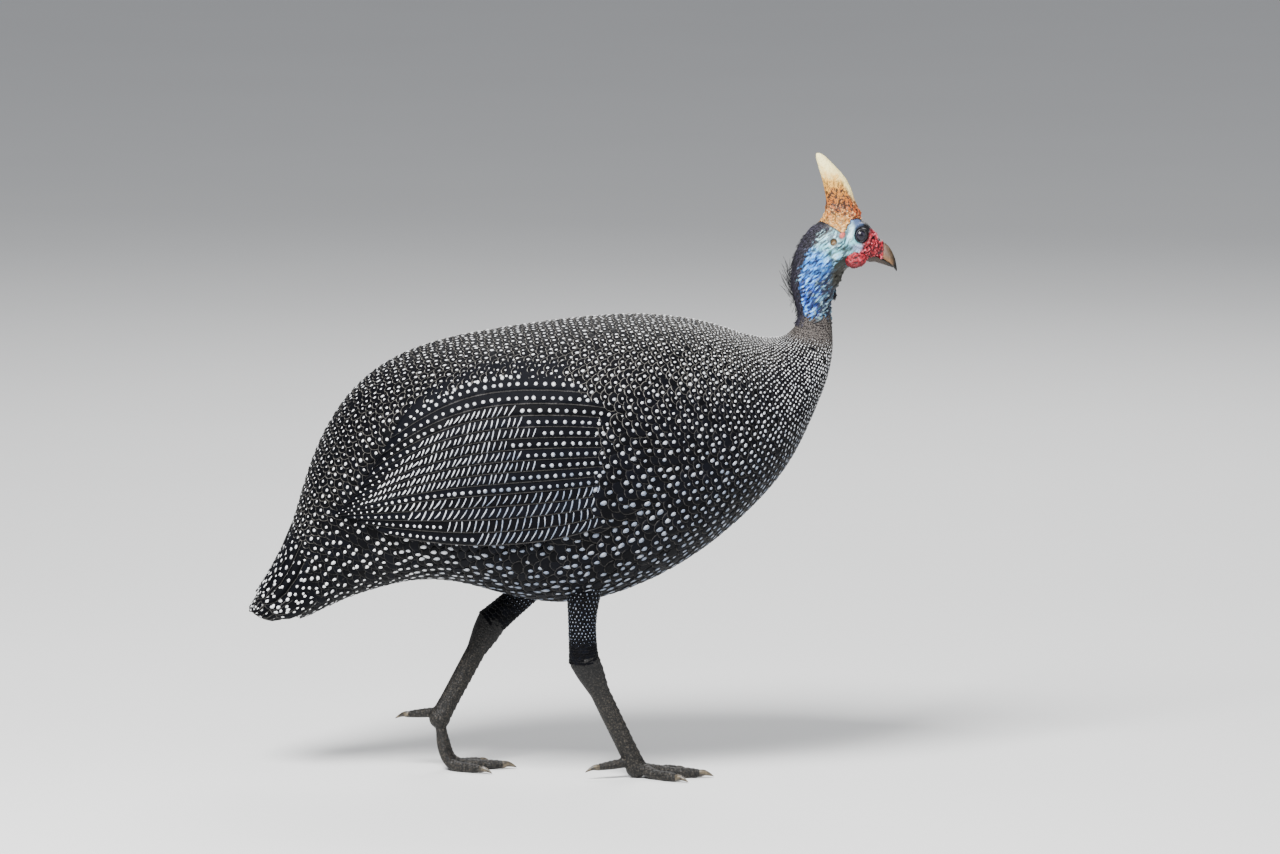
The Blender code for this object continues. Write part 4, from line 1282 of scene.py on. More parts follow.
def plate_faces(rows: int, columns: int) -> Array:
    """Quads of a closed plate: an upper grid, a lower one after it, and thin walls round both."""
    index = np.arange(rows * columns).reshape(rows, columns)
    a, b, c, d = index[:-1, :-1], index[1:, :-1], index[1:, 1:], index[:-1, 1:]
    upper = np.stack([a, b, c, d], -1).reshape(-1, 4)
    rim = np.concatenate([index[0, :-1], index[:-1, -1], index[-1, :0:-1], index[:0:-1, 0]])
    after, count = np.roll(rim, -1), rows * columns
    walls = np.stack([rim, after, after + count, rim + count], -1)
    return np.concatenate([upper, upper[:, ::-1] + count, walls])


@dataclass
class Wing:
    """One folded wing: long feathers stacked as strips, with their bars and spots.

    Pitches, half widths and bows are in millimetres by kind of mark, and length is what a unit of u
    stands for. Gap is the u left free between bars and dots, stagger what every other row starts later.
    """

    side: Side
    plumage: Material
    white: Material
    length: float = 230.0
    gap: float = 0.004
    stagger: float = 0.012
    long_bars: int = 3
    start: float = 0.1
    bars_from: float = 0.42
    long_bars_from: float = 0.25
    bars_to: Sequence[float] = (
        0.58, 0.66, 0.76, 0.86, 0.9, 0.9, 0.88, 0.85, 0.82, 0.78, 0.72, 0.66, 0.58, 0.5)
    slant: float = 67.0
    pitch: dict[Mark, float] = field(default_factory=lambda: dict(zip(Mark, (4.3, 3.25, 4.7))))
    half_width: dict[Mark, float] = field(default_factory=lambda: dict(zip(Mark, (0.44, 0.42, 1.3))))
    bow: dict[Mark, float] = field(default_factory=lambda: dict(zip(Mark, (0.45, 0.2, 0.0))))
    rows: int = 64
    columns: int = 7

    def strips(self) -> list[Strip]:
        """The strips from the lowest up: spots, long bars, the smooth dark band, short bars and spots."""
        made, band, levels = [], self.long_bars + 1, WING.levels
        for k, (end, bars_to) in enumerate(zip(WING.ends, self.bars_to)):
            bars = (self.long_bars_from if k < band else self.bars_from + 0.03 * (k % 3), bars_to)
            plain = k == band or k > len(WING.ends) - 3
            made.append(Strip(levels[k], levels[k + 1], self.start, end, None if plain else bars,
                              Mark.LONG_BARS if k < band else Mark.BARS))
        return made

    def blades(self) -> None:
        """The strips as closed plates 0.5 mm thick."""
        stock = Stock(f"wing_feathers_{self.side.word}")
        faces = plate_faces(self.rows, self.columns)
        rng = np.random.default_rng(21)
        for strip in self.strips():
            u, w = grid(np.linspace(strip.start, strip.end, self.rows), np.linspace(0, 1, self.columns))
            place, height = strip.place(u, w), strip.height(u, w)
            ruffle = 0.12 * np.sin(u * 90 + rng.uniform(0, 6)) * (1 - w)
            deep = 0.1 + 0.45 * np.minimum(np.minimum(w, 1 - w) * 6, 1)
            points = [WING.point(*place, height + rise * MM, self.side) for rise in (ruffle, -deep)]
            root = WING.body_place(*(np.mean(p) for p in place), self.side)
            cell = np.stack([np.full(u.size, 0.5), 1.6 * w.ravel() + 0.035], -1)
            patch = bake_patch(BIRD, root, u.ravel(), 2 * w.ravel() - 1)
            maps = {BAKE_MAP: np.tile(patch, (2, 1)), CELL_MAP: np.tile(cell, (2, 1))}
            count = 2 * u.size
            values = {TONE: np.full(count, rng.uniform(0.1, 0.7)), GROUND: np.full(count, 0.22)}
            stock.add(np.stack(points), faces, values, maps)
        settle(stock, [self.plumage], "plumage", f"wing_{self.side.word}")

    def marks(self) -> None:
        """The white bars and spots on the strips, as thin lenses."""
        stock = Stock(f"wing_marks_{self.side.word}")
        rng = np.random.default_rng(22)
        for number, strip in enumerate(self.strips()):
            phase = 0.37 * number
            rows = [(strip.mark, strip.bars, 0.5, phase)] if strip.bars else []
            start, end = strip.start + 0.01 + self.stagger * (number % 2), strip.end - 0.02
            low, high = strip.bars or (end + self.gap, end)
            spans = ((start, low - self.gap), (high + self.gap, end))
            rows += [(Mark.DOTS, span, 0.45, phase) for span in spans]
            if strip.high > 0.99:
                rows.append((Mark.DOTS, (0.46, strip.end - 0.04), 0.92, phase + 0.5))
            for row in rows:
                self.row(stock, strip, *row, rng)
        settle(stock, [self.white], "plumage")

    def row(self, stock: Stock, strip: Strip, mark: Mark, span: tuple[float, float], level: float,
            phase: float, rng: np.random.Generator) -> None:
        """One row of marks along a strip.

        Each is an oval in the side plane: half length times cos along its slant, half width times sin
        across, with the powers of a squarer oval, turned into u and v by the wing's own steps.

        Args:
            stock: The piece.
            strip: The feather.
            mark: Bars or dots.
            span: From which u to which.
            level: How far up the shown part the row lies.
            phase: Where the row starts, as a share of the pitch.
            rng: The draw for their unevenness.
        """
        dots, far_u = mark is Mark.DOTS, span[1] - span[0]
        count = round(far_u * self.length / self.pitch[mark])
        if count < 1:
            return
        u = span[0] + (np.arange(count) + phase % 1.0 + rng.normal(0, 0.06, count)) * far_u / count
        w = level * (strip.high - strip.low) / strip.tall
        u, v = strip.place(u, np.full(count, w))
        here = np.linalg.norm(WING.steps(u, v)[1], axis=-1) * (strip.high - strip.low)
        ends = WING.seen(np.array([0.5, 0.5]), np.array([strip.low, strip.high]))
        share = np.clip(here / np.linalg.norm(ends[1] - ends[0]), 0.25, 1.2)
        width = np.full(count, self.half_width[mark] * MM) * (share if dots else 1.0)
        length = width * 1.12 if dots else here * (0.5 if mark is Mark.LONG_BARS else 0.45)
        half = np.stack([length, width], 1) * (1 + rng.normal(0, 1, (count, 2)) * (0.12, 0.1))
        turn = 20 if dots else self.slant + rng.normal(0, 4) - 34 * (u - 0.5)
        turn = np.radians(turn + rng.normal(0, 12 if dots else 6, count))[:, None]
        rim, power = 10, 1.0 if dots else 0.75
        oval = (wave(turns(rim)) for wave in (np.cos, np.sin))
        far, wide = (np.append(np.sign(run) * np.abs(run) ** power, (0, 0)) for run in oval)
        heights = np.append(np.full(rim, 0.1), (0.22, -0.12)) * MM
        length = half[:, :1] * far
        width = half[:, 1:] * wide * (1 + (0 if dots else 0.3) * far) + self.bow[mark] * MM * far**2
        shift = np.stack([length * np.cos(turn) - width * np.sin(turn),
                          length * np.sin(turn) + width * np.cos(turn)], -1)
        grid_u, grid_v = WING.moved(u[:, None], v[:, None], shift)
        grid_w = w + (grid_v - v[:, None]) / strip.tall
        height = strip.height(grid_u, np.clip(grid_w, 0, 1)) + heights
        points = WING.point(grid_u, grid_v, height, self.side)
        root = np.repeat(WING.body_place(u, v, self.side), rim + 2, axis=0)
        patch = bake_patch(BIRD, root, np.tile(far, count) / 2 + 0.5, np.tile(wide, count))
        stock.add(points, lens_faces(count, rim), None, {BAKE_MAP: patch})


@dataclass(frozen=True)
class Zone:
    """A soft oval on the side of the head, mirrored on both sides; lengths in millimetres."""

    x: float
    z: float
    wide: float
    tall: float
    colour: Colour
    height: float = 0.0
    turn: float = 0.0
    soft: float = 0.3
    strength: float = 1.0

    def share(self, points: Array) -> Array:
        """How much each point is in the oval: 1 well inside, easing to 0 past its edge.

        Args:
            points: Points in metres.

        Returns:
            Values from 0 to strength.
        """
        c, s = math.cos(math.radians(self.turn)), math.sin(math.radians(self.turn))
        x, z = points[..., 0] / MM - self.x, points[..., 2] / MM - self.z
        along, across = (x * c + z * s) / self.wide, (z * c - x * s) / self.tall
        return self.strength * (1 - ease(np.hypot(along, across), 1 - self.soft, 1 + self.soft))


CHEEK = srgb(124, 192, 198)
PALE = srgb(198, 236, 242)
SKY = srgb(50, 150, 236)
BLUE = srgb(14, 82, 192)
DEEP = srgb(14, 34, 74)
NAPE = srgb(20, 18, 26)
CROWN = srgb(78, 98, 134)
JAW = srgb(26, 44, 38)
THROAT = srgb(34, 34, 26)
THROAT_FRONT = srgb(22, 24, 34)
LID = srgb(10, 10, 14)
SLATE = srgb(104, 110, 142)
LAVENDER = srgb(160, 166, 200)
TEAL = srgb(34, 72, 80)
RED = srgb(148, 14, 32)
DARK_RED = srgb(58, 7, 15)
PINK = srgb(224, 110, 126)
SALMON = srgb(206, 100, 88)
BROWN = srgb(104, 80, 50)
MOUTH = srgb(64, 44, 34)
BLACK = srgb(14, 14, 18)
CALM = (LID, RED, SALMON, BROWN, DARK_RED, THROAT, MOUTH)

HEAD_ZONES = (
    Zone(166.0, 362.0, 13.0, 10.0, SKY, soft=0.5, strength=0.7),
    Zone(174.0, 381.5, 9.0, 3.0, PALE, turn=45, soft=0.6, strength=0.6),
    Zone(183.0, 381.0, 7.0, 3.0, PALE, turn=25, soft=0.6, strength=0.6),
    Zone(201.5, 390.0, 12.0, 5.4, CROWN, soft=0.35),
    Zone(194.4, 383.6, 2.3, 6.2, PALE, turn=-12, soft=0.5, strength=0.9),
    Zone(200.0, 373.4, 5.6, 2.8, LAVENDER, soft=0.5, strength=0.8),
    Zone(192.0, 372.6, 5.6, 2.2, JAW, height=-0.45, turn=8, soft=0.6, strength=0.9),
    Zone(189.0, 361.5, 8.8, 6.4, JAW, turn=15, soft=0.35),
    Zone(187.0, 353.0, 6.4, 10.0, THROAT, turn=-20, soft=0.4),
    Zone(184.0, 367.4, 2.8, 2.0, PALE, height=0.5, soft=0.5, strength=0.7),
    Zone(180.6, 369.6, 1.6, 2.6, JAW, height=-0.4, turn=-20, soft=0.5, strength=0.9),
    Zone(182.4, 377.6, 3.9, 4.0, PALE, height=0.7, soft=0.35),
    Zone(182.6, 377.5, 2.75, 2.9, LID, height=-0.6, soft=0.2),
    Zone(182.5, 377.3, 1.95, 2.1, BROWN, height=-1.2, soft=0.3),
    Zone(178.8, 384.6, 6.4, 0.7, LID, height=-0.2, turn=35, soft=0.6, strength=0.8),
    Zone(186.2, 385.0, 5.4, 0.6, LID, height=-0.2, turn=-22, soft=0.6, strength=0.8),
    Zone(188.5, 382.2, 2.6, 3.2, DARK_RED, height=-0.3, turn=-35, soft=0.35, strength=0.85),
    Zone(188.6, 382.3, 1.5, 2.2, SALMON, height=1.2, turn=-35, soft=0.5),
    Zone(207.0, 363.4, 9.0, 3.8, MOUTH, soft=0.3),
    Zone(210.4, 377.0, 7.8, 8.0, RED, height=0.35, soft=0.22),
    Zone(207.0, 369.6, 6.8, 4.6, RED, height=0.3, turn=20, soft=0.3),
    Zone(206.2, 388.0, 8.6, 1.6, LID, turn=-48, soft=0.4),
    Zone(202.0, 382.3, 5.2, 6.4, LID, soft=0.2),
    Zone(205.8, 386.6, 3.4, 2.2, LID, turn=-45, soft=0.4),
    Zone(209.5, 366.2, 7.0, 0.8, DARK_RED, height=-0.5, turn=-3, soft=0.5),
    Zone(214.2, 378.4, 0.9, 2.7, LID, height=-1.6, turn=14, soft=0.35),
)


def capped_faces(rows: int, columns: int) -> tuple[Array, Array]:
    """Quads of a tube of rings that is closed at both ends by a point, rows * columns and the next.

    Args:
        rows: How many rings.
        columns: Points on each ring, an even number.

    Returns:
        Faces, and each corner's row and column.
    """
    walls, corners = wrap_faces(rows, columns)
    j = np.arange(0, columns, 2)
    faces, places = [walls], [corners]
    for row, pole, order in ((0, rows * columns, (2, 1, 0)), (rows - 1, rows * columns + 1, (0, 1, 2))):
        ring = np.stack([j + k for k in order], 1)
        faces.append(np.column_stack([np.full(len(j), pole), row * columns + ring % columns]))
        column = np.column_stack([j + 1, ring])
        places.append(np.stack([np.full(column.shape, row), column], -1))
    return np.concatenate(faces), np.concatenate(places)


def add_rings(stock: Stock, points: Array, tint: Array | None = None,
              window: Sequence[float] = (0.01, 0.01, 0.99, 0.99),
              poles: Sequence[Array] | None = None) -> None:
    """Adds a closed tube of rings, with its rows and columns laid out in a window of the bake map.

    Args:
        stock: The piece.
        points: Rings, shape (rows, columns, 3).
        tint: Their colours, where the piece holds them.
        window: Low and high corner of the window.
        poles: The closing points, or the middles of the end rings.
    """
    rows, columns = points.shape[:2]
    faces, corners = capped_faces(rows, columns)
    share = corners / (rows - 1, columns)
    low, high = np.array(window[:2]), np.array(window[2:])
    values, maps = {}, {BAKE_MAP: low + (high - low) * share}
    if tint is not None:
        values[TINT] = np.concatenate([tint.reshape(-1, 4), tint[[0, -1]].mean(1)])
    poles = points[[0, -1]].mean(1) if poles is None else poles
    stock.add(np.concatenate([points.reshape(-1, 3), poles]), faces, values, maps)


def blend(base: Array | Colour, colour: Colour | Array, share: Array) -> Array:
    """Lays a colour over others by a share for each point."""
    return base + (np.array(colour) - base) * share[..., None]


def cere_tint(warts: Array) -> Array:
    """The red of the warty skin, with painted highlights in pink on the highest warts and painted shade,
    near black, between them.
    """
    return blend(blend(RED, PINK, ease(warts, 0.7, 1.8) * 0.8), DARK_RED, ease(warts, 0.3, -0.7))


@dataclass
class Skin:
    """The one skin under and between the feathers: head, neck, body, legs and the wattles."""

    head_rows: int = 190
    neck_rows: int = 86
    sides: int = 144
    body_rows: int = 72
    body_sides: int = 56
    wattle_at: Triple = (198.2, 10.2, 365.2)
    wattle_radii: Triple = (7.2, 3.0, 6.0)

    def head_and_neck(self, stock: Stock) -> None:
        """Head and bare neck: the loft, with folds, lids' hollows, warts and pits raised in it.

        Args:
            stock: The skin.
        """
        t = np.concatenate([np.linspace(0, HEAD_END, self.head_rows, endpoint=False),
                            np.linspace(HEAD_END, NECK_FEATHERS_FROM + 0.9, self.neck_rows)])
        t, phi = grid(t, turns(self.sides, -math.pi))
        flat = BIRD.flat_point(t, phi)
        fields = (grain(flat, (7.5, 3.4, 2.1), 5, 42), grain(flat, (2.8, 1.6, 1.15), 6, 48),
                  grain(flat, (1.9, 1.9, 1.9), 7))
        points = BIRD.point(t, phi, self.relief(flat, t, phi, fields) * MM)
        add_rings(stock, points, self.colours(flat, t, phi, fields), (0.01, 0.36, 0.99, 0.99))

    def relief(self, flat: Array, t: Array, phi: Array, fields: Sequence[Array]) -> Array:
        """How far the skin stands off the loft, in millimetres.

        Args:
            flat: Points of the loft.
            t: Their places along.
            phi: Their places round.
            fields: Long folds, fine grain and small warts there.

        Returns:
            Heights.
        """
        folds, fine, warts = fields
        neck = ease(t, HEAD_END - 2.2, HEAD_END + 0.4)
        side = ease(np.abs(phi), 0.7, 1.2)
        height = (0.5 * neck + 0.2 * (1 - neck)) * folds * side + 0.13 * fine * side
        height -= 0.9 * ease(t, NECK_FEATHERS_FROM - 0.1, NECK_FEATHERS_FROM + 0.7)
        cere = sum(zone.share(flat) for zone in HEAD_ZONES if zone.colour is RED)
        height += 0.42 * np.clip(cere, 0, 1) * warts
        height += sum(zone.height * zone.share(flat) for zone in HEAD_ZONES)
        away = np.hypot(flat[..., 0] / MM - EYE_AT[0], (flat[..., 2] / MM - EYE_AT[1]) * 0.94)
        height += -3.2 * (1 - ease(away, 3.6, 4.8)) + 0.75 * np.exp(-((away - 6.9) / 0.9) ** 2)
        return height - 0.35 * np.exp(-((away - 8.6) / 0.7) ** 2)

    def colours(self, flat: Array, t: Array, phi: Array, fields: Sequence[Array]) -> Array:
        """The skin's colours, laid over one another from the ground up.

        Args:
            flat: Points of the loft.
            t: Their places along.
            phi: Their places round.
            fields: Long folds, fine grain and small warts there.

        Returns:
            Linear colours.
        """
        folds, fine, warts = fields
        wave, ridge = 0.12 * folds + 0.05 * fine, 0.65 * folds + 0.6 * fine
        neck = ease(t + wave * 2, HEAD_END - 2.2, HEAD_END - 0.7)
        front = neck * ease(np.abs(phi) + wave * 2, 1.6, 1.95) * ease(t, HEAD_END - 1.1, HEAD_END + 0.2)
        cheek = (1 - neck) * ease(flat[..., 0], 0.199, 0.19)
        away = np.hypot(flat[..., 0] / MM - EYE_AT[0], flat[..., 2] / MM - EYE_AT[1])
        cere = np.clip(sum(zone.share(flat) for zone in HEAD_ZONES if zone.colour is RED), 0, 1)
        cere = cere * ease(away, 6.0, 6.8) * (1 - HEAD_ZONES[-1].share(flat))
        crown = ease(t, 3.6, 4.6) * (1 - ease(np.abs(phi) + wave, 0.82, 1.05))
        tint = CHEEK
        for colour, share in (
                (BLUE, neck),
                # painted light of the neck's folds: lighter blue and pale as painted highlights on their
                # crests, deep blue as painted shade in their troughs
                (SKY, neck * ease(ridge, 0.0, 0.8) * 0.9),
                (DEEP, neck * ease(ridge, -0.25, -1.0) * 0.9),
                (THROAT_FRONT, front * 0.95),
                (PALE, neck * ease(ridge, 0.75, 1.5) * (0.85 - 0.5 * front)),
                (TEAL, cheek * ease(np.abs(folds + 0.4 * fine), 0.3, 0.0) * 0.7),
                (TEAL, cheek * ease(np.abs(fine - 0.3 * folds), 0.2, 0.0) * 0.4),
                # painted highlights on the crests of the cheek's folds
                (PALE, cheek * ease(ridge, 0.5, 1.3) * 0.7),
                *((zone.colour, zone.share(flat)) for zone in HEAD_ZONES),
                (cere_tint(warts), cere),
                (NAPE, crown),
                (BLACK, ease(t, NECK_FEATHERS_FROM - 0.1, NECK_FEATHERS_FROM + 0.35))):
            tint = blend(tint, colour, share)
        calm = np.prod([1 - zone.share(flat) for zone in HEAD_ZONES if zone.colour in CALM], axis=0)
        streaked = (neck * (1 - 0.55 * front) + 0.9 * cheek) * calm * (1 - crown)
        tint[..., 3] = 1 - streaked * ease(t, NECK_FEATHERS_FROM + 0.3, NECK_FEATHERS_FROM - 0.2)
        return np.clip(tint, 0, 1)

    def body(self, stock: Stock) -> None:
        """The skin under the coat, as deep below the loft as the coat is there.

        Args:
            stock: The skin.
        """
        t, phi = grid(np.linspace(NECK_FEATHERS_FROM + 0.3, HEAD_END + 21.4, self.body_rows),
                      turns(self.body_sides, -math.pi))
        depth = 0.9 + 2.2 * ease(t, HEAD_END + 3, HEAD_END + 8)
        tint = np.broadcast_to(BLACK, (*t.shape, 4))
        add_rings(stock, BIRD.point(t, phi, -depth * MM), tint, (0.01, 0.2, 0.6, 0.34))

    def lids(self, stock: Stock, side: Side) -> None:
        """The lids: a ring that lies on the eyeball, thicker above, black inside and slate outside.

        A point is the eye's middle plus the ring's oval, moved by the lid's radius times cos outwards
        in the side plane and times sin away from the head.

        Args:
            stock: The skin.
            side: Which eye.
        """
        rows, columns = 72, 16
        around, tube = grid(turns(rows), turns(columns))
        lean = math.radians(-14)
        x, z = 3.35 * np.cos(around), 4.2 * np.sin(around)
        x, z = x * math.cos(lean) - z * math.sin(lean), x * math.sin(lean) + z * math.cos(lean)
        away = np.hypot(x, z)
        above = ease(np.sin(around) + 0.5 * np.cos(around), -0.3, 0.7)
        thick = 0.55 + 0.4 * above
        rest = EYE_SIDE + np.sqrt(EYE_RADIUS**2 - away**2) + 0.05
        out = 1 + thick * np.cos(tube) / away
        wrinkle = 0.07 * np.sin(3 * tube + 9 * around)
        points = np.stack([EYE_AT[0] + x * out, side.value * (rest + (thick + wrinkle) * np.sin(tube) * 0.9),
                           EYE_AT[1] + z * out], -1) * MM
        tint = blend(LID, SLATE, ease(np.cos(tube), 0.45, 0.95) * 0.5 * (1 - above))
        faces, corners = wrap_faces(rows + 1, columns)
        low = (0.62 if side is Side.RIGHT else 0.72, 0.2)
        stock.add(points, faces % (rows * columns), {TINT: tint.reshape(-1, 4)},
                  {BAKE_MAP: low + corners / (rows, columns) * (0.09, 0.06)})

    def wattle(self, stock: Stock, side: Side) -> None:
        """The wattle: a lumpy lens that hangs from the corner of the gape, its root in the cheek.

        A point is the middle plus the radii times the unit ball's point, with lumps added, turned out
        a little from the head.

        Args:
            stock: The skin.
            side: Which wattle.
        """
        round_points, _ = ball(44, 56, 0.06)
        lumps = grain(round_points * 6 * MM, (2.8, 2.4, 3.2), 14)
        fine = grain(round_points * 6 * MM, (1.0, 1.0, 1.0), 15)
        place = round_points * self.wattle_radii * (1 + 0.04 * lumps + 0.02 * fine)[..., None]
        hang = np.clip(-place[..., 2], 0, None)
        place[..., 0] -= 0.16 * hang
        place[..., 1] += 0.34 * hang
        points = (place + self.wattle_at) * (1, side.value, 1) * MM
        # painted shade in the hollows between lumps and towards the wattle's bottom, and painted highlights
        # in pink on the highest lumps
        dark = np.maximum(ease(lumps, -0.1, -1.2), 0.7 * ease(place[..., 2], 1.0, -5.0))
        tint = blend(blend(RED, PINK, ease(lumps + 0.5 * fine, 0.8, 2.0) * 0.45), DARK_RED, dark)
        low = 0.62 if side is Side.RIGHT else 0.8
        add_rings(stock, points, tint, (low, 0.27, low + 0.17, 0.34))


@dataclass
class Head:
    """What stands on the head apart from its skin: casque, bill and eyes."""

    casque: Rows = (
        (203.6, 390.5, 174.2, 391.0, 7.8), (200.6, 398.6, 176.9, 398.2, 6.7),
        (197.6, 405.6, 177.6, 404.4, 5.9), (195.0, 413.2, 176.6, 411.6, 5.2),
        (190.4, 421.6, 174.6, 420.4, 4.5), (182.8, 430.2, 172.0, 429.4, 3.6),
        (176.6, 436.2, 170.4, 436.0, 2.4), (172.9, 438.4, 170.8, 438.4, 0.8))
    skirt: Pairs = (
        (202.4, 391.8), (198.8, 392.8), (194.6, 392.2), (192.0, 389.0), (189.5, 384.2), (184.2, 386.4),
        (179.4, 389.0), (174.6, 390.8), (171.6, 390.0))
    upper_bill: Rows = (
        (210.4, 379.0, 208.0, 368.0, 7.2), (213.4, 378.8, 210.4, 367.6, 7.3),
        (216.2, 377.0, 212.8, 367.0, 6.9), (218.8, 375.4, 215.4, 365.4, 6.2),
        (222.0, 372.2, 219.0, 363.2, 5.0), (224.8, 367.0, 222.4, 360.8, 3.5),
        (226.6, 361.0, 225.0, 357.8, 1.9), (227.2, 356.2, 226.7, 355.5, 0.6))
    lower_bill: Rows = (
        (202.4, 367.0, 202.0, 364.4, 4.6), (206.2, 367.6, 205.6, 362.6, 5.7),
        (209.8, 367.8, 209.0, 361.9, 5.9), (212.8, 367.3, 211.6, 361.9, 5.6),
        (215.3, 366.1, 213.9, 361.3, 5.0), (218.9, 364.0, 217.5, 360.2, 3.9),
        (222.3, 361.6, 221.3, 359.0, 2.5), (224.6, 359.0, 224.2, 358.0, 0.9))

    def make_casque(self) -> None:
        """The helmet: a loft whose foot flares over the skull down to the skirt's line.

        Below the loft a point is (1 - e)^2 skirt + 2 e (1 - e) knee + e^2 loft, with the knee under the
        loft's edge, a third of the way up.
        """
        form, start = Loft(self.casque, 0.03), 0.75
        phi = turns(120, -math.pi)
        share = np.abs(phi) / math.pi
        edge = Spline(self.skirt)(share * (len(self.skirt) - 1)) * MM
        t, round_head = BIRD.locate(edge[:, 0], edge[:, 1], 1.0, HEAD_END)
        fade = np.clip(np.minimum(share, 1 - share) * 9, 0, 1)
        foot = BIRD.point(t, round_head * fade * np.sign(phi), 0.15 * MM)
        top = form.flat_point(start, phi)
        knee = np.stack([top[:, 0], top[:, 1], foot[:, 2] + 0.35 * (top[:, 2] - foot[:, 2])], 1)
        e = np.linspace(0, 1, 26)[:, None, None]
        flare = (1 - e) ** 2 * foot + 2 * e * (1 - e) * knee + e**2 * top
        t, near = BIRD.locate(flare[..., 0], flare[..., 2], 1.0, HEAD_END)
        skull = np.abs(BIRD.flat_point(t, near)[..., 1]) + (0.15 + 0.7 * np.minimum(3 * e[..., 0], 1)) * MM
        flare[..., 1] = np.maximum(np.abs(flare[..., 1]), np.where(near > 0.05, skull, 0)) * np.sign(phi)
        above = form.flat_point(*grid(np.linspace(start, form.last, 100)[1:], phi))
        points = np.concatenate([flare, above])
        normal = unit(np.cross(np.gradient(points, axis=0), np.roll(points, -1, 1) - np.roll(points, 1, 1)))
        normal *= np.sign(((points - points.mean(1, keepdims=True)) * normal).sum())
        low = 1 - ease(points[..., 2], 0.392, 0.412)
        tip = 1 - ease(points[..., 2], 0.425, 0.4375)
        knobs = 0.4 * low * np.abs(grain(points, (3.0, 3.0, 2.6), 32))
        height = (0.26 * grain(points, (2.6, 2.6, 6.0), 31) + knobs) * (0.2 + 0.8 * tip * low)
        height += 0.05 * grain(points, (0.9, 0.9, 1.4), 33)
        points = points + normal * (height * MM)[..., None]
        stock = Stock("casque_horn")
        deep = points[0].mean(0) - (0, 0, 5 * MM)
        add_rings(stock, points, poles=(deep, points[-1].mean(0)))
        settle(stock, [CasqueFinish().make()], "casque", "casque")

    def make_bill(self, half: str, sections: Rows, shift: float, horn: Material) -> None:
        """Half of the bill, with its root sunk in the face and fine growth lines across it.

        Args:
            half: Upper or lower.
            sections: Its loft.
            shift: How far up it is widest.
            horn: Its finish.
        """
        form = Loft(sections, -0.04, shift)
        t, phi = grid(np.linspace(0, form.last, 70), turns(64, -math.pi))
        flat = form.flat_point(t, phi)
        height = 0.05 * grain(flat, (3.0, 1.6, 1.2), 41, -50) + 0.03 * np.sin(t * 22)
        warts = grain(flat, (1.9, 1.9, 1.9), 7)
        cere = ease(flat[..., 0] / MM + 0.35 * warts, 217.8, 217.0) * (shift < 0)
        height = height * (1 - ease(t, form.last - 0.6, form.last)) + cere * (0.5 + 0.4 * warts)
        tint = cere_tint(warts)
        tint[..., 3] = cere
        stock = Stock(f"beak_{half}")
        add_rings(stock, form.point(t, phi, height * MM), tint)
        settle(stock, [horn], "bill", f"bill_{half}")

    def make_eye(self, side: Side, wet: Material) -> None:
        """The eyeball: a ball with the cornea's slight bulge about its axis, which points sideways.

        Args:
            side: Which eye.
            wet: Its finish.
        """
        points, polar = ball(40, 48, 0.03)
        radius = EYE_RADIUS * (1 + 0.035 * np.exp(-((polar / 0.5) ** 2)))
        centre = np.array((EYE_AT[0], EYE_SIDE, EYE_AT[1]))
        points = (centre + points * radius[..., None]) * (1, side.value, 1) * MM
        stock = Stock(f"eyeball_{side.word}")
        add_rings(stock, points)
        settle(stock, [wet], "eye", f"eye_{side.word}")


PLANTED = ((0.0, 1.0), (0.16, 0.8), (0.34, 0.4), (0.54, 0.1), (0.74, 0.0), (0.9, 0.0), (1.0, 0.0))
PUSHING_OFF = ((0.0, 1.0), (0.03, 0.72), (0.08, 0.42), (0.2, 0.12), (0.47, 0.0), (0.78, 0.0), (1.0, 0.0))
KNUCKLES = (1.0, 0.92, 1.04, 0.9, 0.98, 0.84, 0.66)


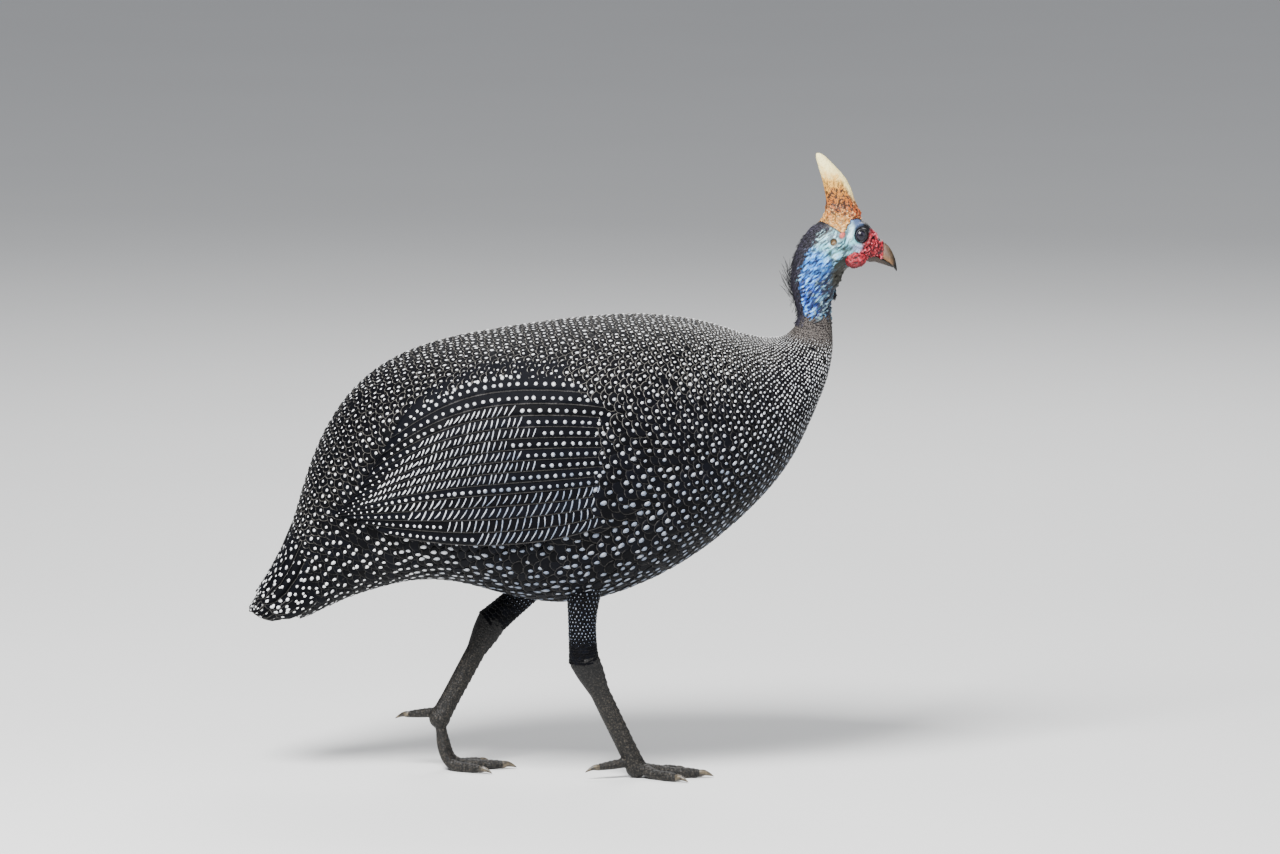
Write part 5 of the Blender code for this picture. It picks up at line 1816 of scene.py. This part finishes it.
@dataclass
class Leg:
    """One leg, from where it leaves the body to its claws; places as x, y outwards and z, in millimetres."""

    side: Side
    top: Triple
    knee: Triple
    hock: Triple
    ball: Triple
    heading: float
    toe_run: Pairs
    thigh_radii: Sequence[float] = (17.5, 10.2, 11.2)
    shank_places: Sequence[float] = (0.0, 0.12, 0.3, 0.8, 1.0)
    shank_radii: Sequence[float] = (10.6, 9.7, 6.9, 6.6, 7.0)
    toes: Sequence[Triple] = ((34.0, 33.0, 3.9), (0.0, 44.0, 4.2), (-33.0, 34.0, 3.8))
    hind_radii: Sequence[float] = (3.5, 3.4, 3.1, 2.4)
    hind_length: float = 25.0
    claw_steps: Sequence[Triple] = (
        (-0.25, -0.02, 0.8), (0.0, 0.0, 0.95), (0.3, 0.03, 0.8), (0.6, -0.03, 0.52), (0.85, -0.13, 0.26),
        (1.0, -0.2, 0.06))
    claw_length: float = 10.0
    voxel: float = 0.76
    scute_pitch: float = 5.6
    toe_pitch: float = 3.6

    def spot(self, place: Sequence[float]) -> Array:
        """A place in metres, on this leg's side."""
        return np.array((place[0], place[1] * self.side.value, place[2])) * MM

    def thigh(self, grow: float = 0.0) -> Tube:
        """The feathered drumstick, grown by so many millimetres."""
        path = [self.spot(p) for p in (self.top, self.knee, self.hock)]
        return Tube(path, [(r + grow) * MM for r in self.thigh_radii], 0.8)

    def toe_lines(self) -> list[tuple[Array, float, Array]]:
        """The toes' axes, the hind toe's last.

        Returns:
            Each toe's points, its root radius in millimetres and its direction.
        """
        root, made = self.spot(self.ball), []
        for spread, length, radius in self.toes:
            angle = math.radians(self.heading) - self.side.value * math.radians(spread)
            ahead = np.array((math.cos(angle), math.sin(angle), 0.0))
            run, rest = np.array(self.toe_run), radius * 0.78 * MM
            line = root + ahead * (length * MM * run[:, :1])
            line[:, 2] = rest + (root[2] - rest) * run[:, 1]
            made.append((line, radius, ahead))
        back = math.radians(self.heading) + math.pi - self.side.value * math.radians(18.0)
        ahead = unit(np.array((math.cos(back), math.sin(back), -0.12)))
        root = root + unit(self.spot(self.hock) - root) * 5 * MM
        steps = np.linspace(0, self.hind_length, len(self.hind_radii))[:, None]
        made.append((root + ahead * steps * MM, self.hind_radii[0], ahead))
        return made

    def skin(self, stock: Stock) -> None:
        """Adds the bare leg: tubes joined by one voxel skin, with scutes raised down shank and toes.

        Args:
            stock: The skin.
        """
        rough = Stock(f"leg_rough_{self.side.word}")
        hock, toes = self.spot(self.hock), self.spot(self.ball)
        add_rings(rough, self.thigh(-1.2).flat_point(*grid(np.linspace(0.9, 2.0, 14), turns(20))))
        share = np.linspace(0, 1, 24)
        shank_radii = np.interp(share, self.shank_places, self.shank_radii) * MM
        self.tube(rough, Tube(hock + (toes - hock) * share[:, None], shank_radii, 0.8), 48, 24)
        for line, radius, _ in self.toe_lines()[:-1]:
            self.tube(rough, Tube(line, [radius * k * MM for k in KNUCKLES]), 40, 20)
        pad = ball(16, 20, 0.1)[0][..., [0, 2, 1]] * MM
        add_rings(rough, hock + pad * (10.3, 8.4, 10.3))
        self.tube(rough, Tube(self.toe_lines()[-1][0], np.array(self.hind_radii) * MM), 16, 16)
        add_rings(rough, toes + pad * (7.6, 6.8, min(self.ball[2] + 0.4, 7.8)))
        points, faces = self.joined(rough)
        points = self.scutes(points)
        points[:, 2] = np.maximum(points[:, 2], 0.0)
        low, high = points.min(0), points.max(0)
        share = (points - low) / (high - low)
        left = 0.01 if self.side is Side.RIGHT else 0.51
        places = np.stack([left + 0.47 * share[:, 0], 0.01 + 0.17 * share[:, 2]], 1)
        down = (points - hock) @ (toes - hock) / ((toes - hock) ** 2).sum()
        tint = blend((1.0, 1.0, 1.0, 1.0), (0.4, 0.42, 0.5, 1.0), 1 - ease(down, 0.0, 0.45))
        stock.add(points, faces, {TINT: tint}, {BAKE_MAP: places}, 1)

    def tube(self, stock: Stock, form: Tube, rows: int, columns: int) -> None:
        """Adds a tube's rings, closed by rounded ends."""
        places = np.array([0.0, float(form.last)])
        ahead, ends = form.axes(places)[0], form.curve(places)
        poles = ends[:, :3] + ahead * ends[:, 3:] * ((-0.6,), (0.6,))
        points = form.flat_point(*grid(np.linspace(0, form.last, rows), turns(columns)))
        add_rings(stock, points, poles=poles)

    def joined(self, rough: Stock) -> tuple[Array, Array]:
        """Turns overlapping closed tubes into one skin by voxels, smooths it and reads it back.

        Args:
            rough: The tubes.

        Returns:
            Points and quads.
        """
        obj = rough.make([])
        remesh = obj.modifiers.new("joined", "REMESH")
        remesh.mode, remesh.voxel_size = "VOXEL", self.voxel * MM
        smooth = obj.modifiers.new("smooth", "SMOOTH")
        smooth.factor, smooth.iterations = 0.5, 3
        mesh = bpy.data.meshes.new_from_object(obj.evaluated_get(bpy.context.evaluated_depsgraph_get()))
        points = np.empty(len(mesh.vertices) * 3)
        mesh.vertices.foreach_get("co", points)
        corners = np.empty(len(mesh.loops), np.int32)
        mesh.loops.foreach_get("vertex_index", corners)
        bpy.data.objects.remove(obj)
        bpy.data.meshes.remove(mesh)
        return points.reshape(-1, 3), corners.reshape(-1, 4)

    def scutes(self, points: Array) -> Array:
        """Raises a saw-toothed row of scutes down the front of the shank and the top of each toe.

        The rise, 0.55 mm or 0.4 on the toes, goes with the share of the pitch to the power 1.6, and
        fades round the sides.

        Args:
            points: The skin's points.

        Returns:
            The moved points.
        """
        hock, toes = self.spot(self.hock), self.spot(self.ball)
        shank = hock + (toes - hock) * np.linspace(0, 1, 30)[:, None]
        lines, share = [(shank, (0.95, 0.0, 0.3), self.scute_pitch, 0.55)], np.linspace(0.12, 1, 26)
        for line, _, _ in self.toe_lines():
            lines.append((Spline(line)(share * (len(line) - 1)), (0.0, 0.0, 1.0), self.toe_pitch, 0.4))
        parts = []
        for line, face, pitch, rise in lines:
            run = np.cumsum(np.append(0, np.linalg.norm(np.diff(line, axis=0), axis=1))) / MM
            same = np.tile((*face, pitch, rise), (len(line), 1))
            parts.append(np.column_stack([line, unit(np.gradient(line, axis=0)), run, same]))
        axis = np.concatenate(parts)
        near = axis[((points[:, None] - axis[None, :, :3]) ** 2).sum(-1).argmin(1)]
        out, ahead = points - near[:, :3], near[:, 3:6]
        beyond = (out * ahead).sum(1)
        out = unit(out - ahead * beyond[:, None])
        place = (near[:, 6] + beyond / MM) / near[:, 10]
        facing = (out * near[:, 7:10]).sum(1)
        step = (place % 1.0) ** 1.6 * near[:, 11] * ease(facing, -0.15, 0.45)
        return points + out * (step * MM)[:, None]

    def claws(self, horn: Material) -> None:
        """The four claws, each a blunt hook whose root is set in its toe.

        Args:
            horn: Their finish.
        """
        for name, (line, radius, ahead) in zip(("inner", "middle", "outer", "hind"), self.toe_lines()):
            steps = np.array(self.claw_steps)
            end = self.hind_radii[-1] if name == "hind" else radius * KNUCKLES[-1]
            path = line[-1] + ahead * (0.35 + self.claw_length * steps[:, :1]) * MM
            path[:, 2] += steps[:, 1] * self.claw_length * MM
            form = Tube(path, end * steps[:, 2] * MM, 0.8)
            t, phi = grid(np.linspace(0, form.last, 34), turns(24))
            points = form.point(t, phi, 0.04 * grain(form.flat_point(t, phi), (5.0, 1.0, 1.0), 51) * MM)
            points[..., 2] = np.maximum(points[..., 2], 0.0)
            stock = Stock(f"claw_horn_{self.side.word}_{name}")
            add_rings(stock, points)
            settle(stock, [horn], "claw", f"claw_{self.side.word}_{name}")


LEGS = (
    Leg(Side.RIGHT, (11.0, 34.0, 160.0), (7.4, 33.0, 118.0), (8.4, 30.0, 85.5),
        (45.0, 17.0, 7.0), -2.0, PLANTED),
    Leg(Side.LEFT, (12.0, 36.0, 165.0), (-23.5, 34.5, 132.5), (-57.0, 31.0, 103.5),
        (-93.5, 17.0, 37.0), 3.0, PUSHING_OFF),
)


@dataclass(frozen=True)
class Bristles:
    """A lot of hair-like feathers: where on the neck, how many and how large, in millimetres."""

    count: int
    span: tuple[float, float]
    spread: float
    length: tuple[float, float]
    width: float
    lift: float
    # pale: how much painted highlight the lot's bristles take
    pale: float = 0.8
    middle: float = 0.0
    way: int = 1


BRISTLES = (
    Bristles(7600, (3.9, HEAD_END + 3.3), 0.84, (1.9, 3.2), 0.5, 0.75, 1.0),
    Bristles(260, (HEAD_END - 2.4, HEAD_END + 3.1), 0.5, (3.5, 6.0), 0.3, 2.2, 0.4),
    Bristles(30, (HEAD_END + 0.9, HEAD_END + 2.6), 0.3, (9.0, 18.0), 0.46, 9.0, 0.0, way=-1),
    Bristles(16, (HEAD_END - 0.2, HEAD_END + 2.4), 0.4, (8.0, 13.0), 0.44, 5.0, 0.1),
    Bristles(80, (HEAD_END + 0.85, HEAD_END + 1.15), 0.25, (3.0, 5.5), 0.5, 2.4, 0.3, middle=math.pi),
)


@dataclass
class Coat:
    """Every tract of feathers, with its spots, and the bristles of the nape."""

    plumage: Material
    white: Material
    hair: Material
    crowding: Pairs = ((4.0, 0.0), (7.0, 0.0), (10.0, 0.14), (14.0, 0.24), (22.0, 0.2))
    spacing: Pairs = (
        (2.7, 2.0), (4.0, 2.1), (5.0, 2.3), (6.0, 2.7), (7.0, 3.2), (8.0, 4.0), (9.0, 4.9), (10.0, 5.9),
        (11.5, 7.0), (15.0, 7.2), (18.0, 6.5), (22.0, 5.8))
    row_share: float = 0.88
    pieces: int = 5
    tail_coverts_end: float = 21.5
    spotting: Spotting = field(default_factory=Spotting)

    def rows(self) -> tuple[Array, Array]:
        """The t of each row of tips and how many feathers it has, both from the spacing wanted there.

        Returns:
            Rows and counts: the girth, summed round the form, over the spacing.
        """
        t, made, counts = NECK_FEATHERS_FROM + 0.25, [], []
        while t < HEAD_END + self.tail_coverts_end:
            wanted = float(np.interp(t - HEAD_END, *np.array(self.spacing).T)) * MM
            girth = np.linalg.norm(BIRD.steps(t, turns(48, -math.pi))[1], axis=-1).mean() * 2 * math.pi
            made.append(t)
            counts.append(round(girth / wanted))
            t += wanted * self.row_share / float(np.linalg.norm(BIRD.steps(t, 1.5)[0]))
        return np.array(made), np.array(counts)

    def ground(self, t: Array, phi: Array) -> Array:
        """How grey the feathers are: all round the neck's base, and on the back."""
        neck = 1.35 * (1 - ease(t, HEAD_END + 3.9, HEAD_END + 6.2))
        back = 0.14 + 0.66 * (1 - ease(np.abs(phi), 0.9, 1.8))
        return np.maximum(neck, back)

    def body(self) -> None:
        """The body's tract, as coat pieces in turn from neck to tail, and one piece of spots."""
        (rows, counts), spots = self.rows(), Stock("body_spots")
        parts = np.searchsorted(np.cumsum(counts) / counts.sum(), np.linspace(0, 1, self.pieces + 1))
        for number, (first, last) in enumerate(zip(parts[:-1], parts[1:])):
            first, last = first - first % 2, last - last % 2 if last < len(rows) else len(rows)
            crowding = np.interp(rows[first:last] - HEAD_END, *np.array(self.crowding).T)
            tract = BodyTract(BIRD, rows[first:last], counts[first:last], crowding, seed=3 + number,
                              wing_cover=True)
            vanes = tract.lay()
            rng = np.random.default_rng(60 + number)
            t, phi = vanes.tip.T
            # the tone sets how much painted sheen a feather takes: at random, and more down the sides
            tone = rng.uniform(0, 1, len(t)) * (0.15 + 0.5 * ease(np.abs(phi), 0.8, 1.6))
            stock = Stock(f"coat_{number + 1}")
            vanes.pour(stock, tone, self.ground(t, phi), np.stack([tract.pitch, tract.spacing], 1))
            settle(stock, [self.plumage], "plumage")
            fade = 1 - 0.12 * ease(t, HEAD_END + 15, HEAD_END + 18)
            self.spotting.dot(tract, vanes, spots, fade * ease(t, HEAD_END + 3.6, HEAD_END + 5.4))
        settle(spots, [self.white], "plumage")

    def thigh(self, leg: Leg) -> None:
        """The small feathers of a drumstick and their spots.

        Args:
            leg: The leg.
        """
        tips = np.linspace(0.42, 2.06, 25)
        tract = Tract(leg.thigh(-0.4), tips, 22, seed=70, root_lift=-1.0, tip_lift=0.5)
        vanes = tract.lay()
        down = vanes.tip[:, 0]
        vanes.lift[:, 1] -= 0.6 * ease(down, 1.3, 2.0) * MM
        tone = np.random.default_rng(71).uniform(0, 0.6, len(tract.pitch))
        stock, spots = Stock(f"thigh_feathers_{leg.side.word}"), Stock(f"thigh_spots_{leg.side.word}")
        vanes.pour(stock, tone, np.full(len(tone), 0.1), np.stack([tract.pitch, tract.spacing], 1))
        self.spotting.dot(tract, vanes, spots, 0.66 * (1 - ease(down, 1.3, 1.9)))
        settle(stock, [self.plumage], "plumage")
        settle(spots, [self.white], "plumage")

    def tail(self) -> None:
        """The tail feathers in two tiers under the coverts, each with spots in rows down its vane."""
        stock, spots = Stock("tail_feathers"), Stock("tail_spots")
        rng = np.random.default_rng(80)
        for root, tip, count, spread, wide, low, high in (
                (19.6, 22.92, 15, 2.0, 17.0, -1.2, 0.2), (19.0, 22.1, 14, 2.2, 17.0, -0.8, 1.6)):
            phi = np.linspace(-spread, spread, count)
            tips = np.stack([HEAD_END + tip - 0.08 * phi**2 + rng.normal(0, 0.03, count), phi * 0.95], 1)
            roots = np.stack([np.full(count, HEAD_END + root), phi], 1)
            lift = np.tile((low, high), (count, 1)) * MM
            lift[:, 1] += 0.9 * MM * (1 - np.abs(phi) / spread)
            vanes = Vanes(BIRD, roots, tips, wide * MM, lift, 26 * MM, TAIL_BLADE)
            cell = np.full((count, 2), 6.4 * MM)
            vanes.pour(stock, rng.uniform(0.1, 0.5, count), np.full(count, 0.3), cell)
            for k in range(8):
                for column in (-0.52, 0.0, 0.52):
                    steps = k + 0.6 + 0.5 * (column == 0) + rng.normal(0, 0.1, count)
                    u = 1 - steps * 7.2 * MM / vanes.length
                    index = np.flatnonzero(u > 0.3)
                    u, noise = u[index], rng.normal(size=(len(index), 2))
                    size = (1 + 0.16 * noise[:, 0]) * MM
                    v = column + 0.08 * noise[:, 1]
                    vanes.spots(spots, index, u, v, np.stack([size * 1.3, size], 1))
        settle(stock, [self.plumage], "plumage", "tail")
        settle(spots, [self.white], "plumage")

    def nape(self) -> None:
        """Velvet over the back of head and neck, wisps that stand off behind, and a tuft at the throat."""
        stock, rng = Stock("nape_bristles"), np.random.default_rng(90)
        skirt = np.array(Head.skirt[::-1]).T
        for lot in BRISTLES:
            t = rng.uniform(*lot.span, lot.count)
            phi = lot.middle + np.clip(rng.normal(0, 0.55, lot.count), -1, 1) * lot.spread
            seen = BIRD.flat_point(t, phi) / MM
            clear = seen[:, 2] < np.interp(seen[:, 0], *skirt) - 1.2
            t, phi = t[clear], phi[clear]
            along, around = (np.linalg.norm(s, axis=-1) for s in BIRD.steps(t, phi))
            reach = rng.uniform(*lot.length, len(t)) * MM * lot.way
            tip = np.stack([t + reach / along, phi + rng.normal(0, 0.22, len(t)) * reach / around], 1)
            rise = np.stack([np.full(len(t), -0.3), lot.lift * rng.uniform(0.35, 1.1, len(t))], 1) * MM
            vanes = Vanes(BIRD, np.stack([t, phi], 1), tip, lot.width * MM, rise, 12 * MM, HAIR_BLADE)
            # paler bristles at random, as painted highlights
            vanes.pour(stock, lot.pale * rng.uniform(0, 1, len(t)) ** 1.6)
        settle(stock, [self.hair], "plumage")


@dataclass
class Studio:
    """A pale floor, soft light and the camera at the photograph's angle."""

    lens: float = 300.0
    distance: float = 7.467
    elevation: float = 7.5
    target: Triple = (0.0476, 0.0, 0.2457)
    floor_size: float = 60.0

    def floor(self) -> None:
        """A wide level floor, at the height that the feet rest on."""
        half = self.floor_size / 2
        stock = Stock("floor")
        corners = np.array([(-half, -half, 0), (half, -half, 0), (half, half, 0), (-half, half, 0)])
        stock.add(corners, np.array([(0, 1, 2, 3)]), closed=False)
        stock.make([FloorFinish().make()])

    def camera(self) -> None:
        """The camera, looking along +Y and down by the elevation at the target."""
        data = bpy.data.cameras.new("camera")
        data.lens, data.sensor_width, data.clip_end = self.lens, 36.0, 200.0
        camera = bpy.data.objects.new("camera", data)
        rise = math.radians(self.elevation)
        x, y, z = self.target
        camera.location = (x, y - self.distance * math.cos(rise), z + self.distance * math.sin(rise))
        camera.rotation_euler = (math.pi / 2 - rise, 0, 0)
        bpy.context.scene.collection.objects.link(camera)
        bpy.context.scene.camera = camera

    def light(self, name: str, place: Sequence[float], size: float, power: float) -> None:
        """A soft square light that faces the bird.

        Args:
            name: The light's name.
            place: Where it hangs.
            size: Its side, in metres.
            power: Its power, in watts.
        """
        data = bpy.data.lights.new(name, "AREA")
        data.size, data.energy = size, power
        lamp = bpy.data.objects.new(name, data)
        away = np.array(place) - np.array((0.0, 0.0, 0.22))
        round_z = math.atan2(away[1], away[0]) + math.pi / 2
        lamp.location = place
        lamp.rotation_euler = (math.acos(away[2] / np.linalg.norm(away)), 0, round_z)
        bpy.context.scene.collection.objects.link(lamp)

    def make(self) -> None:
        """Sets up everything."""
        self.floor()
        self.camera()
        self.light("key", (-0.7, -1.5, 2.1), 0.9, 190.0)
        self.light("fill", (1.9, -1.3, 0.9), 1.8, 18.0)
        self.light("rim", (0.4, 1.9, 1.8), 1.4, 40.0)
        world = bpy.data.worlds.new("studio")
        world.use_nodes = True
        sky = world.node_tree.nodes["Background"].inputs
        sky["Color"].default_value, sky["Strength"].default_value = (0.9, 0.93, 1.0, 1.0), 0.36
        bpy.context.scene.world = world


def make_skin() -> None:
    """Builds the one skin, which stands for every node of flesh."""
    stock, skin = Stock("skin"), Skin()
    skin.head_and_neck(stock)
    skin.body(stock)
    for side in Side:
        skin.lids(stock, side)
        skin.wattle(stock, side)
    for leg in LEGS:
        leg.skin(stock)
    pairs = [f"{part}_{side.word}" for part in ("drumstick", "shank", "foot", "wattle") for side in Side]
    finishes = [SkinFinish().make(), LegFinish().make()]
    settle(stock, finishes, "bare_skin", "torso", "neck", "head", *pairs)


def make_head() -> None:
    """Builds casque, bill and eyes."""
    head, horn = Head(), BillFinish().make()
    head.make_casque()
    head.make_bill("upper", head.upper_bill, -0.48, horn)
    head.make_bill("lower", head.lower_bill, 0.48, horn)
    wet = EyeFinish().make()
    for side in Side:
        head.make_eye(side, wet)


def make_coat() -> None:
    """Builds every feathered piece."""
    coat = Coat(PlumageFinish().make(), SpotFinish().make(), HairFinish().make())
    coat.body()
    coat.tail()
    for leg in LEGS:
        coat.thigh(leg)
    for side in Side:
        wing = Wing(side, coat.plumage, coat.white)
        wing.blades()
        wing.marks()
    coat.nape()


def main() -> None:
    """Builds the whole bird and its studio."""
    logging.basicConfig(level=logging.INFO, format="%(message)s")
    Studio().make()
    make_skin()
    make_head()
    make_coat()
    horn = HornFinish().make()
    for leg in LEGS:
        leg.claws(horn)


if __name__ == "__main__":
    main()
